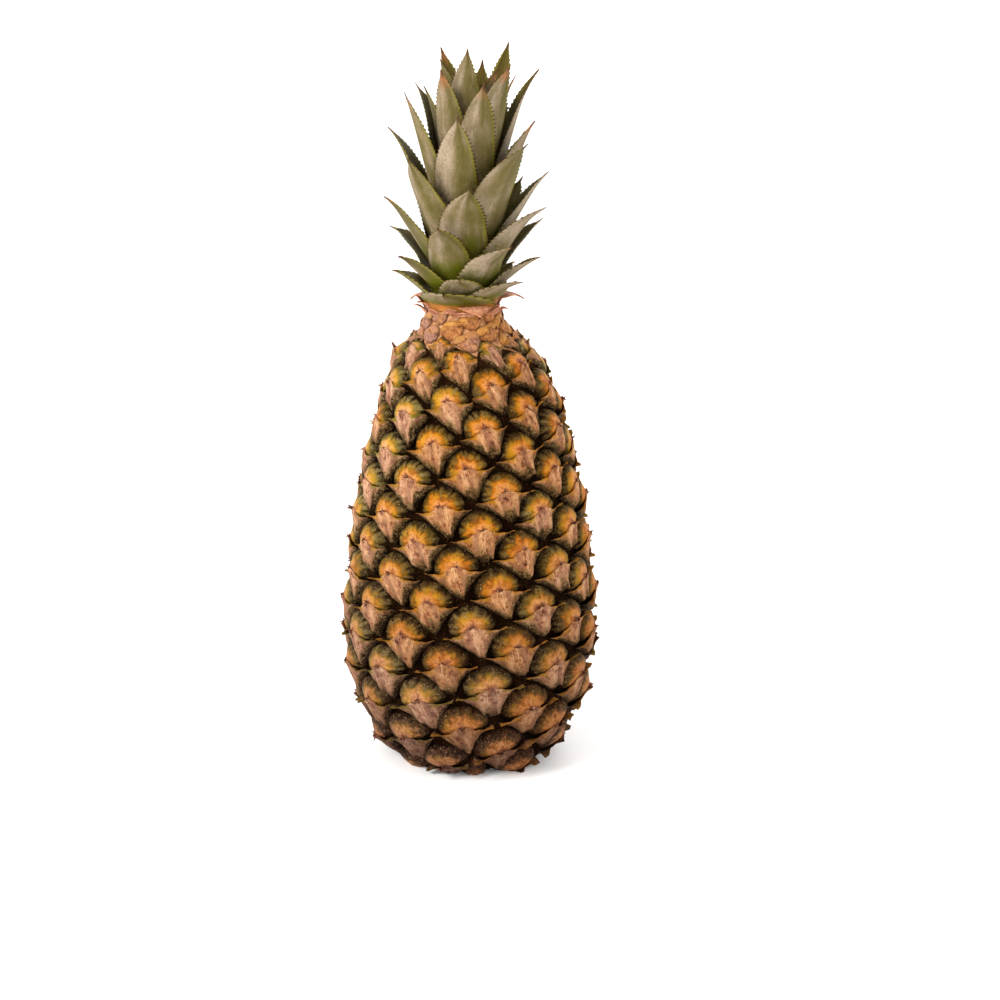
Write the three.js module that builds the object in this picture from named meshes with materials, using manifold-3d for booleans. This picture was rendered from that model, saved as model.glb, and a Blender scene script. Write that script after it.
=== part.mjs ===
// A whole pineapple, standing on its cut base: the fruit with its eyes and bracts, and the leafy crown.
// Millimetres, +Z up, -Y is the front. The origin is the centre of the flat base.
//
// Eyes, neck scales and crown leaves follow one genetic spiral: each organ stands one golden angle from
// the one before, which gives the 8 and 13 spiral rows of a real fruit. Cells of the rind are counted
// down from the neck, and crown leaves are counted up from it.

import * as THREE from "three";
import { mergeVertices } from "three/addons/utils/BufferGeometryUtils.js";
import Module from "manifold-3d";

const wasm = await Module();
wasm.setup();

// ---------------------------------------------------------------- driving dimensions
const FRUIT_HEIGHT = 196;
const GOLDEN_ANGLE = 137.508; // degrees from one organ to the next
const SPIRAL_START = -76.8; // azimuth of cell 0, in degrees from the front towards the right

// Half section of the fruit over its eyes, from above the neck to below the base: [radius, height].
const OUTLINE = [
  [14.4, 207],
  [15, FRUIT_HEIGHT],
  [18.6, 187],
  [24, 181.5],
  [29.2, 175],
  [34.2, 165],
  [39.8, 147.5],
  [44.2, 130.5],
  [47.6, 113],
  [50.2, 94],
  [52.2, 76],
  [53, 62],
  [52.6, 49],
  [50, 33],
  [45.6, 21],
  [40.6, 11],
  [34.8, 3.5],
  [30, 0],
  [26, -5],
  [24, -16],
];
// Rind area of one cell at a height: small scales on the neck, full eyes from the shoulder down.
const CELL_AREA = [
  [-4, 60],
  [0, 480],
  [30, 490],
  [60, 410],
  [110, 350],
  [177, 290],
  [182, 87],
  [FRUIT_HEIGHT, 53],
];
const NECK_SHIFT = -3.2; // the neck stands off the fruit's axis, to the left
const NECK_TWIST = -15; // degrees that the spiral is turned back by at the top of the neck
const NECK_FROM = 148; // height at which the shift and the twist begin

const GROOVE_DEPTH = 4.2; // furrow between full eyes
const SCALE_GROOVE_DEPTH = 1.2; // furrow between neck scales
const BRACT_RISE = 1.5; // the dry bract stands this far off the eye that it covers
const BRACT_TIP_RISE = 2.1;
const EYE_GRID = [-0.5, -0.37, -0.1, 0.14, 0.37, 0.5]; // mesh lines across a cell, closer at the furrows
const TIP_LINE = 2; // the bract's tip stands where this line crosses the same line of the other spiral
const FIRST_CELL = -14; // wholly above the neck's top plane
const LAST_CELL = 186; // wholly below the base plane

const STALK_RADIUS = 12.5; // the stalk, cut flush with the base
const STALK_FURROW = [2.5, 1.6]; // width and depth of the furrow round its cut end

// Crown: tables run along the leaf number as [leaf, value].
const LEAF_COUNT = 54;
const DRY_LEAVES = 4; // the lowest are dry, curled bracts
const FRONT_LEAF = 10; // the lowest green leaf at the front
const FRONT_LEAF_AZIMUTH = -5;
const CROWN_LEAN = 0.05; // sideways run per height
const STEM_HEIGHT = 36;
const STEM_RADII = [13.4, 1.2];
const LEAF_FOOT = [
  [1, 0.6],
  [10, 5],
  [20, 11.5],
  [54, 34.5],
]; // height on the stem
const LEAF_LENGTH = [
  [1, 12],
  [5, 12.5],
  [7, 18],
  [10, 18.5],
  [13, 26],
  [18, 35],
  [23, 46],
  [31, 65],
  [37, 74],
  [46, 76],
  [48, 68],
  [54, 56],
];
// Lean of the blade from upright, half way along it: each leaf leans less than the one below.
const LEAF_LEAN = [
  [1, 112],
  [3, 98],
  [4, 90],
  [5, 58],
  [8, 55],
  [10, 53],
  [14, 47],
  [18, 39],
  [23, 31],
  [31, 20.5],
  [38, 13.5],
  [46, 9],
  [54, 3],
];
// Half the bend from base to tip.
const LEAF_CURL = [
  [1, 45],
  [4, 38],
  [5, 14],
  [8, 12],
  [12, 9],
  [20, 4],
  [54, 1.5],
];
const LEAF_HALF_WIDTH = [
  [1, 7],
  [5, 9.5],
  [10, 7.8],
  [14, 7.8],
  [18, 8.8],
  [25, 10.5],
  [54, 9],
];
const BLADE_FULLNESS = 3.4; // more keeps a blade broad for longer before it narrows to the tip
// Most that half a blade may span round the stem, in degrees: at its base, and above its middle.
const BASE_REACH = [
  [1, 42],
  [8, 36],
  [14, 28],
  [22, 25],
];
const TIP_REACH = 38;
const LEAF_THICKNESS = [1.1, 0.75]; // at the midrib and at the edge
const TOOTH = 1.1; // marginal spines
const TOOTH_PITCH = 6.5;
// Leaves that grew off the rule, as leaf: [degrees turned to the right, length added].
const ODD_LEAVES = {
  5: [20, 0],
  10: [6, 0],
  18: [6, 0],
  23: [-5, 0],
  25: [0, -5],
  30: [0, -8],
  33: [0, -9],
  36: [-9, 0],
  37: [0, -5],
  41: [-10, 0],
  42: [0, -11],
  43: [0, 4],
  44: [-10, 3],
  46: [0, -11],
};
const CLEARANCE = 0.3; // gap between pieces that touch

// ---------------------------------------------------------------- helpers
const { clamp, degToRad, lerp, smoothstep } = THREE.MathUtils;

/** Straight-line interpolation in a table of [key, value] rows with rising keys. */
function along(table, key) {
  let i = 1;
  while (i < table.length - 1 && table[i][0] < key) i++;
  const [k0, v0] = table[i - 1];
  const [k1, v1] = table[i];
  return lerp(v0, v1, clamp((key - k0) / (k1 - k0), 0, 1));
}

/** An even scatter from -1 to 1 for organ number i. */
function scatter(i) {
  const x = i * 0.7548776662;
  return 2 * (x - Math.floor(x)) - 1;
}

function geometryFrom(positions, faces) {
  const geometry = new THREE.BufferGeometry();
  geometry.setAttribute("position", new THREE.Float32BufferAttribute(positions, 3));
  geometry.setIndex(faces.flat());
  geometry.computeVertexNormals();
  return geometry;
}

/** A closed geometry as a manifold-3d solid. */
function solidOf(geometry) {
  const bare = geometry.clone();
  bare.deleteAttribute("normal");
  bare.deleteAttribute("uv");
  const merged = mergeVertices(bare, 1e-4);
  const vertProperties = merged.attributes.position.array;
  const triVerts = new Uint32Array(merged.index.array);
  return new wasm.Manifold(new wasm.Mesh({ numProp: 3, vertProperties, triVerts }));
}

function geometryOf(solid) {
  const { vertProperties, triVerts } = solid.getMesh();
  const geometry = new THREE.BufferGeometry();
  geometry.setAttribute("position", new THREE.BufferAttribute(vertProperties, 3));
  geometry.setIndex(new THREE.BufferAttribute(triVerts, 1));
  geometry.computeVertexNormals();
  return geometry;
}

// ---------------------------------------------------------------- the rind
/** The outline as a fine polyline that counts the cells passed on the way down from the neck's top. */
function walkOutline(steps) {
  const curve = new THREE.SplineCurve(OUTLINE.map(([radius, z]) => new THREE.Vector2(radius, z)));
  const walk = [];
  let cells = 0;
  let last = curve.getPoint(0);
  for (let i = 0; i <= steps; i++) {
    const p = curve.getPoint(i / steps);
    cells += (Math.PI * (p.x + last.x) * p.distanceTo(last)) / along(CELL_AREA, p.y);
    walk.push({ cells, radius: p.x, z: p.y });
    last = p;
  }
  const aboveNeck = walk.find((w) => w.z <= FRUIT_HEIGHT).cells;
  return walk.map((w) => ({ ...w, cells: w.cells - aboveNeck }));
}
const WALK = walkOutline(1500);

/** The stretch of the outline that holds a cell count, and how far along it the count lies. */
function stretchAt(cells) {
  let i = WALK.findIndex((w) => w.cells >= cells);
  if (i < 0) i = WALK.length - 1;
  i = Math.max(i, 1);
  const [from, to] = [WALK[i - 1], WALK[i]];
  return { from, to, part: (cells - from.cells) / (to.cells - from.cells) };
}

/** A point of the rind, from its cell count and azimuth in degrees, lifted off the outline. */
function rindPoint(cells, azimuth, lift) {
  const { from, to, part } = stretchAt(cells);
  const run = Math.hypot(to.radius - from.radius, to.z - from.z);
  const radius = lerp(from.radius, to.radius, part) + (lift * (from.z - to.z)) / run;
  const z = lerp(from.z, to.z, part) + (lift * (to.radius - from.radius)) / run;
  const neck = Math.max(0, (z - NECK_FROM) / (FRUIT_HEIGHT - NECK_FROM));
  const turn = degToRad(azimuth + NECK_TWIST * Math.min(1, neck));
  return [radius * Math.sin(turn) + NECK_SHIFT * neck * neck, -radius * Math.cos(turn), z];
}

/**
 * Lift of the rind where lines i and j of a cell's grid cross. They count along the 8 and the 13 spirals,
 * both downwards, so i + j grows down the fruit. The eye is a dome with a furrow all round. A dry bract
 * covers its part below the line i + j = 2 TIP_LINE and ends in a raised tip in the middle of that line.
 */
function cellLift(i, j, cell) {
  const full = smoothstep(along(CELL_AREA, stretchAt(cell).to.z), 75, 260); // 0 for a scale, 1 for an eye
  const edge = Math.min(1, 2 * Math.cbrt(Math.abs(EYE_GRID[i]) ** 3 + Math.abs(EYE_GRID[j]) ** 3));
  let lift = -lerp(SCALE_GROOVE_DEPTH, GROOVE_DEPTH, full) * edge ** 3.2;
  lift += 0.4 * full * scatter(cell) * (1 - edge);
  if (i + j > 2 * TIP_LINE) lift += lerp(0.5, BRACT_RISE, full) * (1 - edge) ** 0.4;
  if (i === TIP_LINE && j === TIP_LINE) lift += lerp(0.9, BRACT_TIP_RISE, full);
  return lift;
}

/**
 * The rind as one closed shell whose mesh follows the spirals. Cell (a, b) is cell number 8 a + 13 b,
 * and (a + 13, b - 8) is the same cell again, once round the fruit. Each end closes to a point on the axis.
 */
function rindShell() {
  const n = EYE_GRID.length - 1;
  const positions = [];
  const faces = [];
  const known = new Map();

  const vertex = (a, b, i, j, cell) => {
    const turns = Math.floor((b * n + j) / (8 * n));
    const key = `${(a + 13 * turns) * n + i},${(b - 8 * turns) * n + j}`;
    if (known.has(key)) return known.get(key);
    const [u, v] = [a + EYE_GRID[i], b + EYE_GRID[j]];
    const cells = 8 * u + 13 * v;
    const azimuth = SPIRAL_START + GOLDEN_ANGLE * cells - 360 * (3 * u + 5 * v);
    positions.push(...rindPoint(cells, azimuth, cellLift(i, j, cell)));
    known.set(key, positions.length / 3 - 1);
    return known.get(key);
  };

  for (let cell = FIRST_CELL; cell <= LAST_CELL; cell++) {
    const b = (((5 * cell) % 8) + 8) % 8;
    const a = (cell - 13 * b) / 8;
    for (let i = 0; i < n; i++) {
      for (let j = 0; j < n; j++) {
        const top = vertex(a, b, i, j, cell);
        const right = vertex(a, b, i + 1, j, cell);
        const bottom = vertex(a, b, i + 1, j + 1, cell);
        const left = vertex(a, b, i, j + 1, cell);
        faces.push([top, left, right], [right, left, bottom]);
      }
    }
  }
  closeEnds(positions, faces);
  return geometryFrom(positions, faces);
}

/** Joins each open edge to a point on the axis, above the neck or below the base. */
function closeEnds(positions, faces) {
  const edges = new Set();
  for (const [p, q, r] of faces) {
    edges.add(`${p},${q}`);
    edges.add(`${q},${r}`);
    edges.add(`${r},${p}`);
  }
  const above = positions.push(NECK_SHIFT, 0, FRUIT_HEIGHT + 20) / 3 - 1;
  const below = positions.push(0, 0, -20) / 3 - 1;
  for (const edge of edges) {
    const [from, to] = edge.split(",").map(Number);
    if (edges.has(`${to},${from}`)) continue;
    faces.push([to, from, positions[3 * from + 2] > FRUIT_HEIGHT / 2 ? above : below]);
  }
}

/** A ring cut into the base round the stalk. */
function stalkFurrow() {
  const [width, depth] = STALK_FURROW;
  const profile = [
    new THREE.Vector2(STALK_RADIUS, -1),
    new THREE.Vector2(STALK_RADIUS + width, -1),
    new THREE.Vector2(STALK_RADIUS + width / 2, depth),
    new THREE.Vector2(STALK_RADIUS, -1),
  ];
  return new THREE.LatheGeometry(profile, 32).rotateX(Math.PI / 2);
}

function fruit() {
  const slab = new THREE.BoxGeometry(200, 200, FRUIT_HEIGHT).translate(0, 0, FRUIT_HEIGHT / 2);
  const body = solidOf(rindShell()).intersect(solidOf(slab)).subtract(solidOf(stalkFurrow()));
  return geometryOf(body);
}

// ---------------------------------------------------------------- the crown
function stemRadius(height) {
  return lerp(STEM_RADII[0], STEM_RADII[1], height / STEM_HEIGHT);
}

/** The short stem that carries the leaves: a cone with a rounded top. */
function stem() {
  const profile = [new THREE.Vector2(0, CLEARANCE)];
  for (const part of [0, 0.25, 0.5, 0.75, 0.96])
    profile.push(new THREE.Vector2(stemRadius(part * STEM_HEIGHT), Math.max(CLEARANCE, part * STEM_HEIGHT)));
  profile.push(new THREE.Vector2(0, STEM_HEIGHT));
  return new THREE.LatheGeometry(profile, 24).rotateX(Math.PI / 2);
}

/** Half the blade's width at part s of its length: narrower at the stem, full past the middle, pointed. */
function bladeHalfWidth(leaf, s) {
  return along(LEAF_HALF_WIDTH, leaf) * (0.75 + 0.25 * smoothstep(s, 0, 0.35)) * (1 - s ** BLADE_FULLNESS);
}

/**
 * One leaf, at azimuth 0. Its outer face lies on a funnel round the stem, which leans out less for each
 * leaf further up, so that the blades nest without touching. Rows cross the blade from edge to edge.
 */
function leafBlade(leaf) {
  const [, added] = ODD_LEAVES[leaf] ?? [0, 0];
  const length = along(LEAF_LENGTH, leaf) + added;
  const lean = along(LEAF_LEAN, leaf);
  const curl = along(LEAF_CURL, leaf);
  const rows = 2 * clamp(Math.round(length / TOOTH_PITCH), 2, 6);
  const positions = [];
  let height = along(LEAF_FOOT, leaf) + CLEARANCE;
  let radius = stemRadius(height) + CLEARANCE + LEAF_THICKNESS[0];

  for (let row = 0; row <= rows; row++) {
    const s = row / rows;
    const slope = degToRad(lean + curl * (2 * s - 1));
    const tooth = row % 2 && row < rows ? TOOTH * Math.min(1, length / 30) : 0;
    const widest = degToRad(lerp(along(BASE_REACH, leaf), TIP_REACH, Math.min(1, 2 * s)));
    const half = Math.min((bladeHalfWidth(leaf, Math.min(s, 0.985)) + tooth) / radius, widest);
    for (const side of [-1, 0, 1]) {
      const turn = side * half;
      for (const depth of [0, LEAF_THICKNESS[Math.abs(side)] * (s > 0.9 ? 0.8 : 1)]) {
        const r = radius - depth * Math.cos(slope);
        positions.push(r * Math.sin(turn), -r * Math.cos(turn), height + depth * Math.sin(slope));
      }
    }
    const step = length / rows;
    const next = degToRad(lean + curl * ((2 * row + 1) / rows - 1));
    radius += step * Math.sin(next);
    height += step * Math.cos(next);
  }
  return geometryFrom(positions, bladeFaces(rows));
}

/** Faces of a blade whose rows hold left, middle and right points, each an outer and an inner one. */
function bladeFaces(rows) {
  const faces = [];
  const quad = (p, q, r, s) => faces.push([p, q, r], [p, r, s]);
  const OUTER = [0, 2, 4];
  const INNER = [1, 3, 5];
  for (let row = 0; row < rows; row++) {
    const [low, high] = [6 * row, 6 * row + 6];
    for (const k of [0, 1]) {
      quad(low + OUTER[k], low + OUTER[k + 1], high + OUTER[k + 1], high + OUTER[k]);
      quad(low + INNER[k], high + INNER[k], high + INNER[k + 1], low + INNER[k + 1]);
    }
    quad(low + OUTER[0], high + OUTER[0], high + INNER[0], low + INNER[0]);
    quad(low + OUTER[2], low + INNER[2], high + INNER[2], high + OUTER[2]);
  }
  const tip = 6 * rows;
  for (const k of [0, 1]) {
    quad(OUTER[k], INNER[k], INNER[k + 1], OUTER[k + 1]);
    quad(tip + OUTER[k], tip + OUTER[k + 1], tip + INNER[k + 1], tip + INNER[k]);
  }
  return faces;
}

// ---------------------------------------------------------------- assembly
function piece(name, geometry, colour, roughness) {
  const mesh = new THREE.Mesh(geometry, new THREE.MeshStandardMaterial({ color: colour, roughness }));
  mesh.name = name;
  return mesh;
}

const pineapple = new THREE.Group();
pineapple.add(piece("fruit", fruit(), 0xa8783f, 0.7));

const crown = new THREE.Group();
crown.matrixAutoUpdate = false;
crown.matrix.makeShear(0, 0, 0, 0, CROWN_LEAN, 0).setPosition(NECK_SHIFT, 0, FRUIT_HEIGHT);
crown.add(piece("crown_stem", stem(), 0x9a9466, 0.8));
for (let leaf = 1; leaf <= LEAF_COUNT; leaf++) {
  const dry = leaf <= DRY_LEAVES;
  const name = `${dry ? "dry_bract" : "crown_leaf"}_${String(leaf).padStart(2, "0")}`;
  const blade = piece(name, leafBlade(leaf), dry ? 0xb98560 : 0x7f8a66, 0.6);
  const [turned] = ODD_LEAVES[leaf] ?? [0, 0];
  blade.rotation.z = degToRad(FRONT_LEAF_AZIMUTH + turned - GOLDEN_ANGLE * (leaf - FRONT_LEAF));
  crown.add(blade);
}
pineapple.add(crown);

export default pineapple;
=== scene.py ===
"""The looks of a whole pineapple: its eyed rind, dry bracts, withered flowers and spiny crown leaves.

Lengths in the formulas are millimetres, in the part's own frame: +Z up, -Y the front, +X the right.
Each surface is a function of two parameters on a grid, worked out as whole arrays.
"""

import bpy
import numpy as np
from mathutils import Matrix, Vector


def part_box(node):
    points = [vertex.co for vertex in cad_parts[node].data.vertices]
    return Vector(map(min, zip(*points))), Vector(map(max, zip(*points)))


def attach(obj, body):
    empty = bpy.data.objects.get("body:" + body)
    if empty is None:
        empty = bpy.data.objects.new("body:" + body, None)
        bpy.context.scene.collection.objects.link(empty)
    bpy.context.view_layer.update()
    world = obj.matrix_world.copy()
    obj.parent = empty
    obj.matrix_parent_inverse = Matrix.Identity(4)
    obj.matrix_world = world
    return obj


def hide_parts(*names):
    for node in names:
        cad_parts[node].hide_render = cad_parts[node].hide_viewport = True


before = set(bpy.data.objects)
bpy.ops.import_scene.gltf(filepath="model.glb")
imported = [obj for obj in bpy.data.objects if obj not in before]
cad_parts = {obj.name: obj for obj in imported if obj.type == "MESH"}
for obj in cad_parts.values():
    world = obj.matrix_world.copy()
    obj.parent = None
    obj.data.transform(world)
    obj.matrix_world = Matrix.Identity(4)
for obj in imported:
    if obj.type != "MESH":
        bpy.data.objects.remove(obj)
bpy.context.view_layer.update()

MM = 0.001  # metres in a millimetre
CELL_SEED, FLOWER_SEED, FRILL_SEED, LEAF_SEED = 11, 23, 31, 5
FRUIT_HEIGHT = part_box("fruit")[1][2] / MM

# ---------------------------------------------------------------- the fruit, as the solid has it
GOLDEN_ANGLE = 137.508  # degrees from one organ to the next
SPIRAL_START = -76.8  # azimuth of cell 0, in degrees from the front towards the right
# Half section of the fruit over its eyes, from above the neck to below the base: (radius, height).
OUTLINE = [
    (14.4, 207), (15, 196), (18.6, 187), (24, 181.5), (29.2, 175), (34.2, 165), (39.8, 147.5),
    (44.2, 130.5), (47.6, 113), (50.2, 94), (52.2, 76), (53, 62), (52.6, 49), (50, 33), (45.6, 21),
    (40.6, 11), (34.8, 3.5), (30, 0), (26, -5), (24, -16),
]
# Rind area of one cell at a height: small scales on the neck, full eyes from the shoulder down.
CELL_AREA = [(-4, 60), (0, 480), (30, 490), (60, 410), (110, 350), (177, 290), (182, 87), (196, 53)]
NECK_SHIFT = -3.2  # the neck stands off the fruit's axis, to the left
NECK_TWIST = -15  # degrees that the spiral is turned back by at the top of the neck
NECK_FROM = 148  # height at which the shift and the twist begin
SHOULDER = (155, 181)  # heights between which the eyes grow smaller and turn into scales
GROOVE_DEPTH = 4.4  # furrow between full eyes
SCALE_GROOVE_DEPTH = 1.2  # furrow between neck scales
EYE_PEAK = 2.0  # how far an eye rises to its withered flower
EYE_ROUNDNESS = 4  # more makes the corners of the eyes sharper
EYE_BULGE = (0.22, 0.13)  # how far the eyes' upper sides bulge out over their neighbours, across both spirals
BLOSSOM = -0.2  # the flower's place, in cell heights down from the middle of the cell
SHOULDER_DROP = 0.17  # the flowers sit this much lower in the shoulder's cells
FIRST_CELL = -12  # cells are counted down from the neck
LAST_CELL = 184

# ---------------------------------------------------------------- the crown, as the solid has it
# Tables run along the leaf number, counted up from the neck, as (leaf, value).
LEAF_COUNT = 54
DRY_LEAVES = 4  # the lowest are dry, curled bracts
FRONT_LEAF = 10  # the lowest green leaf at the front
FRONT_LEAF_AZIMUTH = -5
CROWN_LEAN = 0.05  # sideways run per height
STEM_HEIGHT = 36
STEM_RADII = (13.4, 1.2)
LEAF_FOOT = [(1, 0.6), (10, 5), (20, 11.5), (54, 34.5)]  # height on the stem
LEAF_LENGTH = [
    (1, 12), (5, 12.5), (7, 18), (10, 18.5), (13, 26), (18, 35), (23, 46), (31, 65), (37, 74), (46, 76),
    (48, 68), (54, 56),
]
# Lean of the blade from upright, in degrees, half way along it, and half its bend from foot to tip.
LEAF_LEAN = [
    (1, 112), (3, 98), (4, 90), (5, 58), (8, 55), (10, 53), (14, 47), (18, 39), (23, 31), (31, 20.5),
    (38, 13.5), (46, 9), (54, 3),
]
LEAF_CURL = [(1, 45), (4, 38), (5, 14), (8, 12), (12, 9), (20, 4), (54, 1.5)]
LEAF_HALF_WIDTH = [
    (1, 5.5), (4, 6.5), (5, 14), (7, 9.5), (10, 7.8), (14, 7.8), (18, 8.8), (25, 10.5), (54, 9),
]
# Leaves that grew out of line: degrees that they are turned by, and length added.
ODD_LEAVES = {
    5: (20, 0), 10: (6, 0), 18: (6, 0), 23: (-5, 0), 25: (0, -5), 30: (0, -8), 33: (0, -9), 36: (-9, 0),
    37: (0, -5), 41: (-10, 0), 42: (0, -11), 43: (0, 4), 44: (-10, 3), 46: (0, -11),
}
CLEARANCE = 0.3  # gap between a leaf and the stem
LEAF_THICKNESS = 1.1  # of the solid's leaves; the dressed ones thin out from their middle to their edge
LEAF_MIDDLE = 0.8
LEAF_EDGE = 0.4


# ---------------------------------------------------------------- helpers
def along(rows, key):
    """Straight-line interpolation in a table of (key, value) rows."""
    keys, values = np.array(rows, float).T
    return np.interp(key, keys, values)


def smooth(x, low, high):
    """0 below low, 1 above high, and an S-curve between."""
    t = np.clip((x - low) / (high - low), 0, 1)
    return t * t * (3 - 2 * t)


def mix(a, b, t):
    """a where t is 0 and b where it is 1."""
    return a + (b - a) * t


def bell(x, width):
    """1 at 0, falling off like a bell to both sides."""
    return np.exp(-((x / width) ** 2))


def grid_quads(rows, cols):
    """Corners of a rows x cols grid's quads, anticlockwise where rows run down and columns to the right."""
    index = np.arange(rows * cols).reshape(rows, cols)
    corners = (index[:-1, :-1], index[1:, :-1], index[1:, 1:], index[:-1, 1:])
    return np.stack(corners, -1).reshape(-1, 4)


def sheet_quads(rows, cols):
    """Faces of a closed thin sheet: the outer grid, the inner grid turned round, and the rim between them."""
    count = rows * cols
    index = np.arange(count).reshape(rows, cols)
    outer = grid_quads(rows, cols)
    rim = np.concatenate([index[:-1, 0], index[-1, :-1], index[:0:-1, -1], index[0, :0:-1]])
    after = np.roll(rim, -1)
    edge = np.stack([after, rim, rim + count, after + count], -1)
    return np.concatenate([outer, outer[:, ::-1] + count, edge])


def ring_faces(rings, spokes, copies):
    """Faces of closed bodies made of rings of points, top ring first: quads between rings, and a cap at each
    end. The spokes go round clockwise, as seen from above the top ring."""
    index = np.arange(rings * spokes).reshape(rings, spokes)
    after = np.roll(index, -1, axis=1)
    quads = np.stack([index[:-1], after[:-1], after[1:], index[1:]], -1).reshape(-1, 4)
    caps = np.stack([index[0, ::-1], index[-1]])
    starts = np.arange(copies)[:, None, None] * rings * spokes
    return (starts + quads).reshape(-1, 4).tolist() + (starts + caps).reshape(-1, spokes).tolist()


SHARP_ANGLE = 70  # degrees between two faces past which the edge between them shows


def make_piece(name, points, faces, material, corner_maps=(), values=()):
    """A mesh object from points in millimetres and faces. corner_maps are (name, a pair for each corner of
    each face), and values are (name, a number or three for each point)."""
    mesh = bpy.data.meshes.new(name)
    mesh.from_pydata((points * MM).tolist(), [], faces)
    for title, corners in corner_maps:
        layer = mesh.uv_layers.new(name=title)
        layer.data.foreach_set("uv", np.ascontiguousarray(corners, np.float32).ravel())
    for title, data in values:
        kind, field = ("FLOAT", "value") if data.ndim == 1 else ("FLOAT_VECTOR", "vector")
        attribute = mesh.attributes.new(title, kind, "POINT")
        attribute.data.foreach_set(field, np.ascontiguousarray(data, np.float32).ravel())
    mesh.shade_smooth()
    mesh.set_sharp_from_angle(angle=np.radians(SHARP_ANGLE))
    mesh.materials.append(material)
    piece = bpy.data.objects.new(name, mesh)
    bpy.context.scene.collection.objects.link(piece)
    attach(piece, "root")
    return piece


# ---------------------------------------------------------------- the rind's surface
def walk_outline(steps=1500):
    """The outline as a fine polyline: a cubic between each two points whose end slopes are half the chord
    of the points on either side. Counts the cells passed, each taking its area of rind."""
    points = np.array(OUTLINE, float)
    t = np.linspace(0, len(points) - 1, steps + 1)
    i = np.minimum(t.astype(int), len(points) - 2)
    f = (t - i)[:, None]
    before, start = points[np.maximum(i - 1, 0)], points[i]
    end, beyond = points[i + 1], points[np.minimum(i + 2, len(points) - 1)]
    leave, arrive = (end - before) / 2, (beyond - start) / 2
    curve = (2 * start - 2 * end + leave + arrive) * f**3
    curve += (3 * end - 3 * start - 2 * leave - arrive) * f**2 + leave * f + start
    radius, z = curve.T
    step = np.hypot(np.diff(radius), np.diff(z))
    rind = np.pi * (radius[1:] + radius[:-1]) * step
    cells = np.concatenate([[0], np.cumsum(rind / along(CELL_AREA, z[1:]))])
    cells -= cells[np.argmax(z <= FRUIT_HEIGHT)]
    slope = np.hypot(np.gradient(radius), np.gradient(z))
    normal = (-np.gradient(z) / slope, np.gradient(radius) / slope)
    return cells, radius, z, normal


WALK_CELLS, WALK_RADIUS, WALK_Z, WALK_NORMAL = walk_outline()
NECK_TOP = FRUIT_HEIGHT - 0.05  # just under the top of the solid
BASE_HOLLOW = 2.4  # the base rises this much inside the ring that it stands on
END_PULL = 0.9  # how much nearer the axis the surface comes for each millimetre past an end


def on_rind(u, v, lift):
    """Points at (u, v) steps along the 8 and the 13 spirals, lifted off the outline along its normal. Above
    the neck and below the base the surface turns in towards the axis, which makes flat ends."""
    cells = 8 * u + 13 * v
    azimuth = SPIRAL_START + GOLDEN_ANGLE * cells - 360 * (3 * u + 5 * v)
    radius = np.interp(cells, WALK_CELLS, WALK_RADIUS)
    z = np.interp(cells, WALK_CELLS, WALK_Z)
    lift = lift * smooth(z, -3, 1)
    radius = radius + lift * np.interp(cells, WALK_CELLS, WALK_NORMAL[0])
    z = z + lift * np.interp(cells, WALK_CELLS, WALK_NORMAL[1])
    above = np.maximum(0, z - NECK_TOP)
    below = np.maximum(0, -z)
    radius = radius - END_PULL * above - END_PULL * below
    neck = np.maximum(0, (z - NECK_FROM) / (FRUIT_HEIGHT - NECK_FROM))
    turn = np.radians(azimuth + NECK_TWIST * np.minimum(1, neck))
    z = np.clip(z, 0, NECK_TOP) + BASE_HOLLOW * smooth(below, 1.5, 9)
    return np.stack([radius * np.sin(turn) + NECK_SHIFT * neck**2, -radius * np.cos(turn), z], -1)


# Every cell's number, steps along both spirals, and what its place on the fruit makes of it.
CELLS = np.arange(FIRST_CELL, LAST_CELL + 1)
CELL_V = (5 * CELLS) % 8
CELL_U = (CELLS - 13 * CELL_V) // 8
CELL_Z = np.interp(CELLS, WALK_CELLS, WALK_Z)
CELL_AZIMUTH = SPIRAL_START + GOLDEN_ANGLE * CELLS
CELL_RADIUS = np.interp(CELLS, WALK_CELLS, WALK_RADIUS)
CELL_DROP = along(CELL_AREA, CELL_Z) / (2 * np.pi * CELL_RADIUS)  # down the rind from each cell to the next
# One step along the 8 and the 13 spirals, in millimetres to the right and down the rind.
STEP_U = np.stack([np.radians(8 * GOLDEN_ANGLE - 3 * 360) * CELL_RADIUS, 8 * CELL_DROP])
STEP_V = np.stack([np.radians(13 * GOLDEN_ANGLE - 5 * 360) * CELL_RADIUS, 13 * CELL_DROP])
AROUND = [(1, 0), (0, 1), (-1, 1), (1, 1), (2, -1)]  # steps to half of the cells that a cell may touch
LOWEST_SIZED = 20  # the small cells below this height are full eyes all the same
SCALE_SIZE, EYE_SIZE = 75, 260  # rind area of a cell that is wholly a scale, and of one that is wholly an eye
CELL_SIZE = along(CELL_AREA, np.maximum(CELL_Z - 3, LOWEST_SIZED))
CELL_FULL = smooth(CELL_SIZE, SCALE_SIZE, EYE_SIZE)  # 0 for a neck scale, 1 for a full eye
CELL_SHOULDER = smooth(CELL_Z, *SHOULDER)  # 1 where the eyes end in the shoulder
CELL_GROOVE = mix(SCALE_GROOVE_DEPTH, GROOVE_DEPTH, CELL_FULL * (1 - 0.65 * CELL_SHOULDER))
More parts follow.
